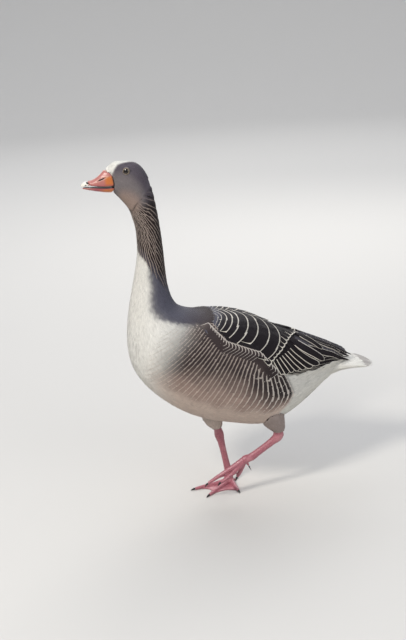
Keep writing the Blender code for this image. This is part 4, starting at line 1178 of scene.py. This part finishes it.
def build_bill():
    """The horn of the bill; its numbers are millimetres from between the eyes."""
    horn = painted_finish("bill horn", 0.40, coat=0.12, grain=420.0, depth=0.2, spread=0.10)
    for node, slot in (("bill_upper", "bill"), ("bill_nail", "horn_pale"), ("bill_lower", "bill")):
        mesh = refined(node, 3)
        points, normals = of_vertices(mesh, "co"), of_vertices(mesh, "normal")
        ahead, aside, up = head_frame(points)
        side, facing, wave = np.abs(aside), normals[:, 2], ripple(points, 3 * MM)
        # the horn laps back over the skin of the face
        lap = blend(25.5, 23.2, ahead)
        back, lift = 1.9 * lap, 0.35 * lap + 0.12 * wave
        if node == "bill_upper":
            # pale along the top of the ridge: a painted highlight where the light catches the upper
            # bill
            colour = mix(BILL_ROSE, BILL_PAINTED_HIGHLIGHT, blend(4.0, 1.0, side) * blend(-20, -8, up))
            rear = blend(47, 39, ahead + wave) * blend(3.0, 7.0, side) * blend(-6, -11, up)
            colour = mix(colour, BILL_ORANGE, rear)
            # a darker magenta band just above the gape: painted shade on the lower edge of the
            # upper bill
            band = blend(-22, -24, up) * blend(-28.5, -26.5, up)
            colour = mix(colour, BILL_MAGENTA_SHADE, 0.5 * band)
            # the nostril: a painted highlight on its raised rim and painted shade, near black, in
            # its hollow
            from_hole = np.hypot((ahead - 49.6) / 7.5, (up + 13.2 + 0.36 * (ahead - 49.6)) / 1.5)
            nostril, rim = np.clip(1.25 - from_hole, 0, 1), np.exp(-((from_hole - 1.6) / 0.35) ** 2)
            nostril, rim = nostril * blend(5, 8, side), rim * blend(5, 8, side)
            lift += 0.35 * rim - 1.9 * nostril
            colour = mix(colour, BILL_PAINTED_HIGHLIGHT, 0.35 * rim)
            colour = mix(colour, HORN_BLACK_AND_SHADE, blend(0.15, 0.55, nostril))
            gape = blend(-26.9, -27.9, up) * blend(74, 62, ahead)
            inside = blend(-0.35, -0.7, facing)
        elif node == "bill_nail":
            back = 1.6 * blend(76.5, 74, ahead)
            colour = mix(BILL_ROSE, NAIL_PALE, blend(75.0, 78.0, ahead + wave + 0.35 * (up + 22)))
            mark = np.hypot(ahead - 77.6, up + 17.6) + 0.5 * wave
            colour = mix(colour, HORN_BLACK_AND_SHADE, blend(3.6, 2.6, mark) * blend(2.0, 3.5, side))
            # a dark line under the nail's hook: painted shade
            below = np.abs(up + 22.4 + (ahead - 80.6)) / 1.4 + 0.4 * wave
            colour = mix(colour, HORN_BLACK_AND_SHADE, 0.9 * blend(1.3, 0.7, below) * blend(79, 81, ahead))
            gape, inside = 0 * ahead, blend(-0.6, -0.85, facing)
        else:
            # the lower bill: darker magenta just under the gape as painted shade below the upper
            # bill, orange lower down at the rear, rose towards the tip
            colour = mix(BILL_MAGENTA_SHADE, BILL_ORANGE, blend(-31.5, -34.0, up) * blend(62, 40, ahead))
            colour = mix(colour, BILL_ROSE, blend(60, 80, ahead))
            gape = blend(-29.6, -28.6, up) * blend(84, 70, ahead)
            inside = blend(0.35, 0.7, facing)
        lift -= 0.9 * gape
        move_to(mesh, points + (normals * lift[:, None] - np.outer(back, AHEAD)) * MM)
        # near black along the gape and on the faces turned into the mouth or down under the nail:
        # partly the mandibles' dark edges, partly painted shade
        paint(mesh, mix(colour, HORN_BLACK_AND_SHADE, np.maximum(gape, inside)))
        place_piece(node.replace("bill", "horn"), mesh, horn, slot, node)


# ---- eyes ----

LID_PALE = (0.26, 0.20, 0.135)
LID_GREY = (0.105, 0.090, 0.092)
PUPIL, IRIS, EYE_RIM = (0.003, 0.002, 0.002), (0.016, 0.008, 0.005), (0.01, 0.007, 0.006)
# section of the lids: millimetres above the eyeball, and degrees from the way it looks
LID_FOLD = ((-0.6, 84), (-0.6, 70), (-0.6, 56), (-0.6, 44), (0.15, 37), (0.62, 37.5), (0.85, 41),
            (0.62, 45.5), (0.25, 48), (0.5, 53), (0.22, 58), (0.4, 64), (0.1, 74), (-0.2, 84))


def looking(bm, name, turn, centre):
    """A mesh turned and moved into its seat, with each vertex's angle from the way it looks."""
    bmesh.ops.rotate(bm, cent=(0, 0, 0), matrix=turn, verts=bm.verts)
    bmesh.ops.translate(bm, vec=centre, verts=bm.verts)
    mesh = mesh_of(bm, name)
    ways = unit(of_vertices(mesh, "co") - np.array(centre))
    return mesh, np.arccos(np.clip(ways @ np.array(turn.col[2]), -1, 1))


def lid_form(radius, front):
    """A fold of bare skin round the eye, pale at its rim and drawn to a point at its front."""
    bm = bmesh.new()
    section = [(radius / MM + above, radians(angle)) for above, angle in LID_FOLD]
    bm.faces.new([bm.verts.new((reach * sin(angle), 0, reach * cos(angle)))
                  for reach, angle in section])
    bmesh.ops.spin(bm, geom=bm.faces[:], cent=(0, 0, 0), axis=(0, 0, 1), dvec=(0, 0, 0),
                   angle=2 * pi, steps=64, use_merge=True, use_duplicate=False)
    bmesh.ops.remove_doubles(bm, verts=bm.verts, dist=0.001)
    caps = [face for face in bm.faces if len(face.verts) > 4]
    bmesh.ops.delete(bm, geom=caps, context="FACES_ONLY")
    bmesh.ops.recalc_face_normals(bm, faces=bm.faces)
    for vert in bm.verts:
        flat = vert.co.xy
        pull = max(flat.normalized().dot(front), 0) ** 10 * (8.0 - flat.length) / 3
        vert.co.xy += front * 0.9 * pull
    bmesh.ops.scale(bm, vec=(MM, MM, MM), verts=bm.verts)
    return bm


def build_eyes():
    wet = painted_finish("eye", 0.10, coat=0.20, grain=900.0, depth=0.01, spread=0.05)
    lid = painted_finish("eyelid", 0.55, grain=1500.0, depth=0.2)
    for side, hand in (("left", -1), ("right", 1)):
        node = "eye_" + side
        low, high = (Vector(corner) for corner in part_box(node))
        centre, radius = (low + high) / 2, (high.z - low.z) / 2
        out = (ASIDE * hand + AHEAD * 0.10 + Vector((0, 0, 0.10))).normalized()
        turn = out.to_track_quat("Z", "Y").to_matrix()
        bm = bmesh.new()
        bmesh.ops.create_uvsphere(bm, u_segments=48, v_segments=32, radius=radius)
        mesh, from_axis = looking(bm, node, turn, centre)
        iris = mix(PUPIL, IRIS, blend(0.36, 0.40, from_axis))
        paint(mesh, mix(iris, EYE_RIM, blend(0.72, 0.80, from_axis)))
        place_piece("eyeball_" + side, mesh, wet, "eye", node)
        # ahead and below
        front = (turn.transposed() @ (AHEAD - Vector((0, 0, 0.45)))).xy.normalized()
        mesh, from_axis = looking(lid_form(radius, front), "eyelids_" + side, turn, centre)
        paint(mesh, mix(LID_PALE, LID_GREY, blend(45, 49, np.degrees(from_axis))))
        place_piece("eyelids_" + side, mesh, lid, "eye")


# ---- legs ----

LEG_ROSE = (0.43, 0.145, 0.175)
LEG_PALE = (0.62, 0.30, 0.315)
LEG_SHADE = (0.22, 0.062, 0.085)
LEG_VOXEL = 1.0 * MM
SCALE_SIZE = 2.9 * MM


def scales(points):
    """Height of small rounded scales at each point: 0 in the seams and 1 on top."""
    near = np.array([noise.voronoi(Vector(point))[0][:2] for point in points / SCALE_SIZE])
    return np.clip((near[:, 1] - near[:, 0]) * 1.6, 0, 1)


def build_legs():
    scutes = painted_finish("leg skin", 0.42, coat=0.12, grain=900.0, depth=0.2, spread=0.10)
    claws = painted_finish("claw horn", 0.35, coat=0.2, grain=700.0, depth=0.1)
    for side in ("left", "right"):
        nodes = ("shank_" + side, "foot_" + side)
        mesh = fused("leg_" + side, nodes, LEG_VOXEL)
        mesh = baked_mesh(mesh, "SMOOTH", factor=0.5, iterations=3)
        points, normals = of_vertices(mesh, "co"), of_vertices(mesh, "normal")
        height = scales(points)
        grow = (0.45 * height - 0.25) * MM * blend(0.2 * MM, 1.2 * MM, points[:, 2])
        points = points + normals * grow[:, None]
        # the leg's top reaches up under the feathers of the thigh
        level = points[:, 2]
        top = level.max()
        rise = unit(np.array(middle("thigh_" + side)) - points[level > top - 4 * MM].mean(axis=0))
        points = points + 7 * MM * rise * blend(top - 6 * MM, top - 2 * MM, level)[:, None]
        colour = mix(LEG_SHADE, LEG_ROSE, 0.35 + 0.65 * blend(0.0, 0.5, height))
        colour = mix(colour, LEG_PALE, 0.35 * blend(0.2, 0.9, ripple(points, 11 * MM)))
        move_to(mesh, points)
        paint(mesh, colour)
        place_piece("leg_" + side, mesh, scutes, "leg_skin", *nodes)
        for toe in ("outer", "middle", "inner", "hind"):
            node = "claw_" + toe + "_" + side
            mesh = refined(node, 2)
            paint(mesh, HORN_BLACK_AND_SHADE)
            place_piece(node.replace("claw", "nail"), mesh, claws, "claw", node)


# ---- studio ----

CAMERA_AT = (-0.4869, -1.9465, 1.0)
CAMERA_TURN, CAMERA_TIP, CAMERA_ROLL = radians(12), radians(17.1), radians(4)
CAMERA_LENS = 57.375
GOOSE_AT = (0, 0, 0.35)
FLOOR_REACH, FLOOR_BEND, WALL_TOP = 7.0, 3.0, 7.0
# name, place, aim, size, power and colour
LAMPS = (
    ("key", (-2.2, -1.6, 2.9), GOOSE_AT, 0.7, 92.0, (1.0, 0.965, 0.90)),
    ("top", (0.5, 4.0, 6.0), GOOSE_AT, 6.0, 150.0, (1.0, 1.0, 1.0)),
    ("fill", (1.6, -2.6, 1.6), GOOSE_AT, 2.0, 20.0, (0.95, 0.97, 1.0)),
    ("back", (1.2, 2.4, 2.2), GOOSE_AT, 1.6, 30.0, (1.0, 0.98, 0.95)),
    ("wall", (0.8, 3.4, 4.4), (1.8, 9.0, 0.3), 3.0, 95.0, (1.0, 0.99, 0.97)),
)


def build_studio():
    # a level floor that sweeps up into a pale wall all round
    bend = np.linspace(0.1, pi / 2, 14)
    profile = [(0.0, 0.0), (FLOOR_REACH, 0.0)]
    profile += [(FLOOR_REACH + FLOOR_BEND * sin(turn), FLOOR_BEND * (1 - cos(turn)))
                for turn in bend]
    profile += [(FLOOR_REACH + FLOOR_BEND, WALL_TOP)]
    bm = bmesh.new()
    verts = [bm.verts.new((x, 0, z)) for x, z in profile]
    edges = [bm.edges.new(pair) for pair in zip(verts, verts[1:])]
    bmesh.ops.spin(bm, geom=verts + edges, cent=(0, 0, 0), axis=(0, 0, 1), dvec=(0, 0, 0),
                   angle=2 * pi, steps=96, use_merge=True, use_duplicate=False)
    bmesh.ops.remove_doubles(bm, verts=bm.verts, dist=0.1 * MM)
    bmesh.ops.recalc_face_normals(bm, faces=bm.faces)
    if bm.faces[0].normal.z < 0:
        bmesh.ops.reverse_faces(bm, faces=bm.faces)
    mesh = mesh_of(bm, "floor")
    finish, _, shader = new_finish("floor paint", 0.9)
    shader.inputs["Base Color"].default_value = (0.57, 0.555, 0.525, 1)
    mesh.materials.append(finish)
    in_scene("floor", mesh)
    world = bpy.data.worlds.new("studio")
    world.use_nodes = True
    sky = world.node_tree.nodes["Background"].inputs
    sky["Color"].default_value = (0.80, 0.86, 1.0, 1)
    sky["Strength"].default_value = 0.78
    bpy.context.scene.world = world
    bpy.context.scene.view_settings.view_transform = "Standard"
    for name, at, aim, size, power, colour in LAMPS:
        light = bpy.data.lights.new(name, "AREA")
        light.size, light.energy, light.color = size, power, colour
        lamp = in_scene(name, light)
        lamp.location = at
        lamp.rotation_euler = (Vector(aim) - Vector(at)).to_track_quat("-Z", "Y").to_euler()


def build_camera():
    level, rise = cos(CAMERA_TIP), -sin(CAMERA_TIP)
    ahead = Vector((sin(CAMERA_TURN) * level, cos(CAMERA_TURN) * level, rise))
    across = Vector((cos(CAMERA_TURN), -sin(CAMERA_TURN), 0))
    above = across.cross(ahead)
    right = cos(CAMERA_ROLL) * across - sin(CAMERA_ROLL) * above
    upright = sin(CAMERA_ROLL) * across + cos(CAMERA_ROLL) * above
    lens = bpy.data.cameras.new("camera")
    lens.lens, lens.sensor_width, lens.sensor_fit = CAMERA_LENS, 36, "AUTO"
    camera = in_scene("camera", lens)
    facing = Matrix((right, upright, -ahead)).transposed().to_4x4()
    camera.matrix_world = Matrix.Translation(CAMERA_AT) @ facing
    bpy.context.scene.camera = camera


def build_goose():
    body = body_sheet(tree_of(fused("form", FORM_NODES)))
    wings = wing_sheet(body, tree_of(fused("wings", ("wing_right", "flight_right"))))
    feathers = feather_finish("contour feathers", 0.62, 0.05, 0.18)
    wing_feathers = feather_finish("wing feathers", 0.55, 0.0, 0.15)
    build_skin(body, painted_finish("skin under the coat", 0.85))
    build_head(body, feathers)
    build_furrows(body, feathers)
    build_trunk(body, feathers)
    build_flanks(body, feathers)
    build_wings(wings, wing_feathers)
    build_tail(feathers)
    build_thighs(feathers)
    build_bill()
    build_eyes()
    build_legs()


build_goose()
build_studio()
build_camera()
